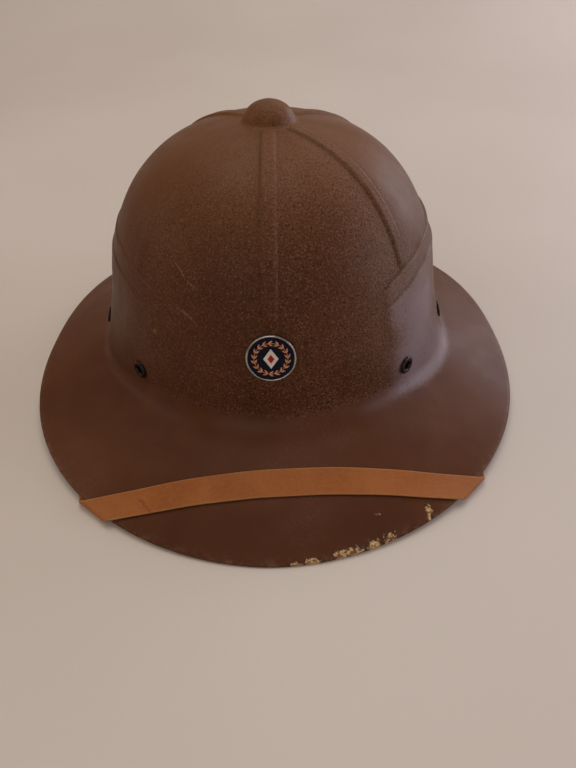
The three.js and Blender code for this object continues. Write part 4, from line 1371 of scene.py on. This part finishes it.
def register(piece, node, slot, *materials):
    for material in materials:
        piece.data.materials.append(material)
    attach(piece, "root")
    if node:
        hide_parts(node)


# Small piece on the wall. Edges that bend by more than the given angle stay sharp.
def add_piece(name, shape, wall, node, slot, material, sharp_above):
    vertices, faces = shape
    mesh = make_mesh(name, placed(vertices, frame_matrix(wall)), faces)
    mesh.set_sharp_from_angle(angle=math.radians(sharp_above))
    register(make_object(name, mesh), node, slot, material)


# The shell, with holes for the eyelets' barrels and the badge's post
def build_shell(eyelet_walls, badge_wall):
    shell = make_object("shell_painted", make_shell_mesh())
    barrel = EYELET_HOLE_RADIUS + EYELET_BARREL_WALL + CLEARANCE
    cutters = [drill(barrel, wall, 32) for wall in eyelet_walls]
    cutters.append(drill(BADGE_POST_RADIUS + CLEARANCE, badge_wall, 24))
    cut(shell, cutters)
    register(shell, "shell", "painted_fibre", shell_paint(), inner_fibre())


def build_badge(wall):
    add_piece("badge_plate", badge_body(), wall, "badge_body", "badge_metal", badge_silver(), 40)
    navy = enamel("navy_enamel", (0.001, 0.0015, 0.012), (0.0015, 0.0025, 0.018))
    add_piece("badge_navy", badge_field(), wall, "badge_field", "navy_enamel", navy, 40)
    copper = enamel("copper_enamel", (0.5, 0.2, 0.1), (0.66, 0.32, 0.18), 0.3)
    add_piece("badge_leaves", badge_wreath(), wall, "badge_wreath", "copper_enamel", copper, 30)
    cream = enamel("cream_enamel", (0.62, 0.55, 0.48), (0.74, 0.68, 0.6), 0.22)
    front = ORNAMENT_BACK + BADGE_ORNAMENT
    lozenge = bevelled_lozenge(1, ORNAMENT_BACK, front, 0.1)
    add_piece("badge_cream", lozenge, wall, "badge_lozenge", "cream_enamel", cream, 20)
    red = enamel("red_enamel", (0.3, 0.008, 0.01), (0.42, 0.016, 0.018), 0.2)
    small = bevelled_lozenge(RED_LOZENGE_SHARE, front - 0.05, front + 0.12, 0.06)
    add_piece("badge_red", small, wall, None, "copper_enamel", red, 20)


def build_helmet():
    eyelet_walls = [wall_frame_at(azimuth, EYELET_ABOVE_FOOT) for azimuth in EYELET_AZIMUTHS.values()]
    badge_wall = wall_frame(0.0, FOOT_FRONT_HEIGHT + BADGE_ABOVE_FOOT)
    build_shell(eyelet_walls, badge_wall)
    black = japanned_metal()
    for node, wall in zip(EYELET_AZIMUTHS, eyelet_walls):
        add_piece(node + "_fine", eyelet_mesh(), wall, node, "eyelet_metal", black, 40)
    build_badge(badge_wall)
    strap = make_object("strap", make_strap_mesh())
    register(strap, "chin_strap", "strap_leather", strap_leather())
    steel = plain_steel()
    for node, mirror in (("strap_post_right", False), ("strap_post_left", True)):
        wall = wall_frame_at(POST_AZIMUTH, POST_ABOVE_FOOT, mirror)
        add_piece(node + "_fine", post_mesh(), wall, node, "post_steel", steel, 40)


# Floor and backdrop in one sweep, in metres
FLOOR_HALF_WIDTH = 3.2
FLOOR_FRONT = -1.8
BACKDROP_START = 0.75
BACKDROP_RADIUS = 0.7
BACKDROP_TOP = 2.2


def make_floor():
    profile = [(FLOOR_FRONT, 0), (BACKDROP_START, 0)]
    for step in range(1, 17):
        angle = math.pi / 2 * step / 16
        forward = BACKDROP_START + BACKDROP_RADIUS * math.sin(angle)
        profile.append((forward, BACKDROP_RADIUS * (1 - math.cos(angle))))
    profile.append((BACKDROP_START + BACKDROP_RADIUS, BACKDROP_TOP))
    sides = (-FLOOR_HALF_WIDTH, FLOOR_HALF_WIDTH)
    vertices = [(x / MM, y / MM, z / MM) for y, z in profile for x in sides]
    faces = [[2 * i, 2 * i + 1, 2 * i + 3, 2 * i + 2] for i in range(len(profile) - 1)]
    floor = make_object("floor", make_mesh("floor", vertices, faces))
    paint = Paint("floor")
    colour = paint.mix(paint.spread(paint.noise(420, 3, 0.5)), (0.59, 0.51, 0.455), (0.63, 0.55, 0.495))
    grain = paint.bump(paint.noise(3, 3, 0.5), 0.05, 0.2)
    floor.data.materials.append(paint.finish(Base_Color=colour, Roughness=0.55, Normal=grain))


def area_light(name, place, target, size, power, colour):
    data = bpy.data.lights.new(name, "AREA")
    data.shape = "RECTANGLE"
    data.size, data.size_y = size
    data.energy = power
    data.color = colour
    light = bpy.data.objects.new(name, data)
    light.location = place
    light.rotation_euler = (Vector(target) - Vector(place)).to_track_quat("-Z", "Y").to_euler()
    bpy.context.collection.objects.link(light)


def make_lights():
    middle = (0, 0, 0.06)
    area_light("window", (1.35, 1.2, 0.6), middle, (1.1, 0.9), 12, (0.88, 0.88, 1.0))
    area_light("side", (1.4, -0.1, 0.4), middle, (0.8, 0.7), 7, (0.84, 0.84, 1.0))
    area_light("ceiling", (0.0, 0.5, 1.7), middle, (1.5, 1.5), 14.2, (1.0, 0.95, 0.88))
    area_light("front", (-0.4, -1.5, 1.0), middle, (1.3, 1.0), 7.2, (1.0, 0.92, 0.82))
    area_light("lamp", (-1.3, 0.1, 0.8), middle, (0.8, 0.8), 2.6, (1.0, 0.86, 0.7))
    world = bpy.data.worlds.new("room")
    world.use_nodes = True
    background = world.node_tree.nodes["Background"]
    background.inputs["Color"].default_value = (1.0, 0.88, 0.76, 1)
    background.inputs["Strength"].default_value = 0.125
    bpy.context.scene.world = world
    bpy.context.scene.view_settings.view_transform = "Standard"


make_camera()
build_helmet()
make_floor()
make_lights()
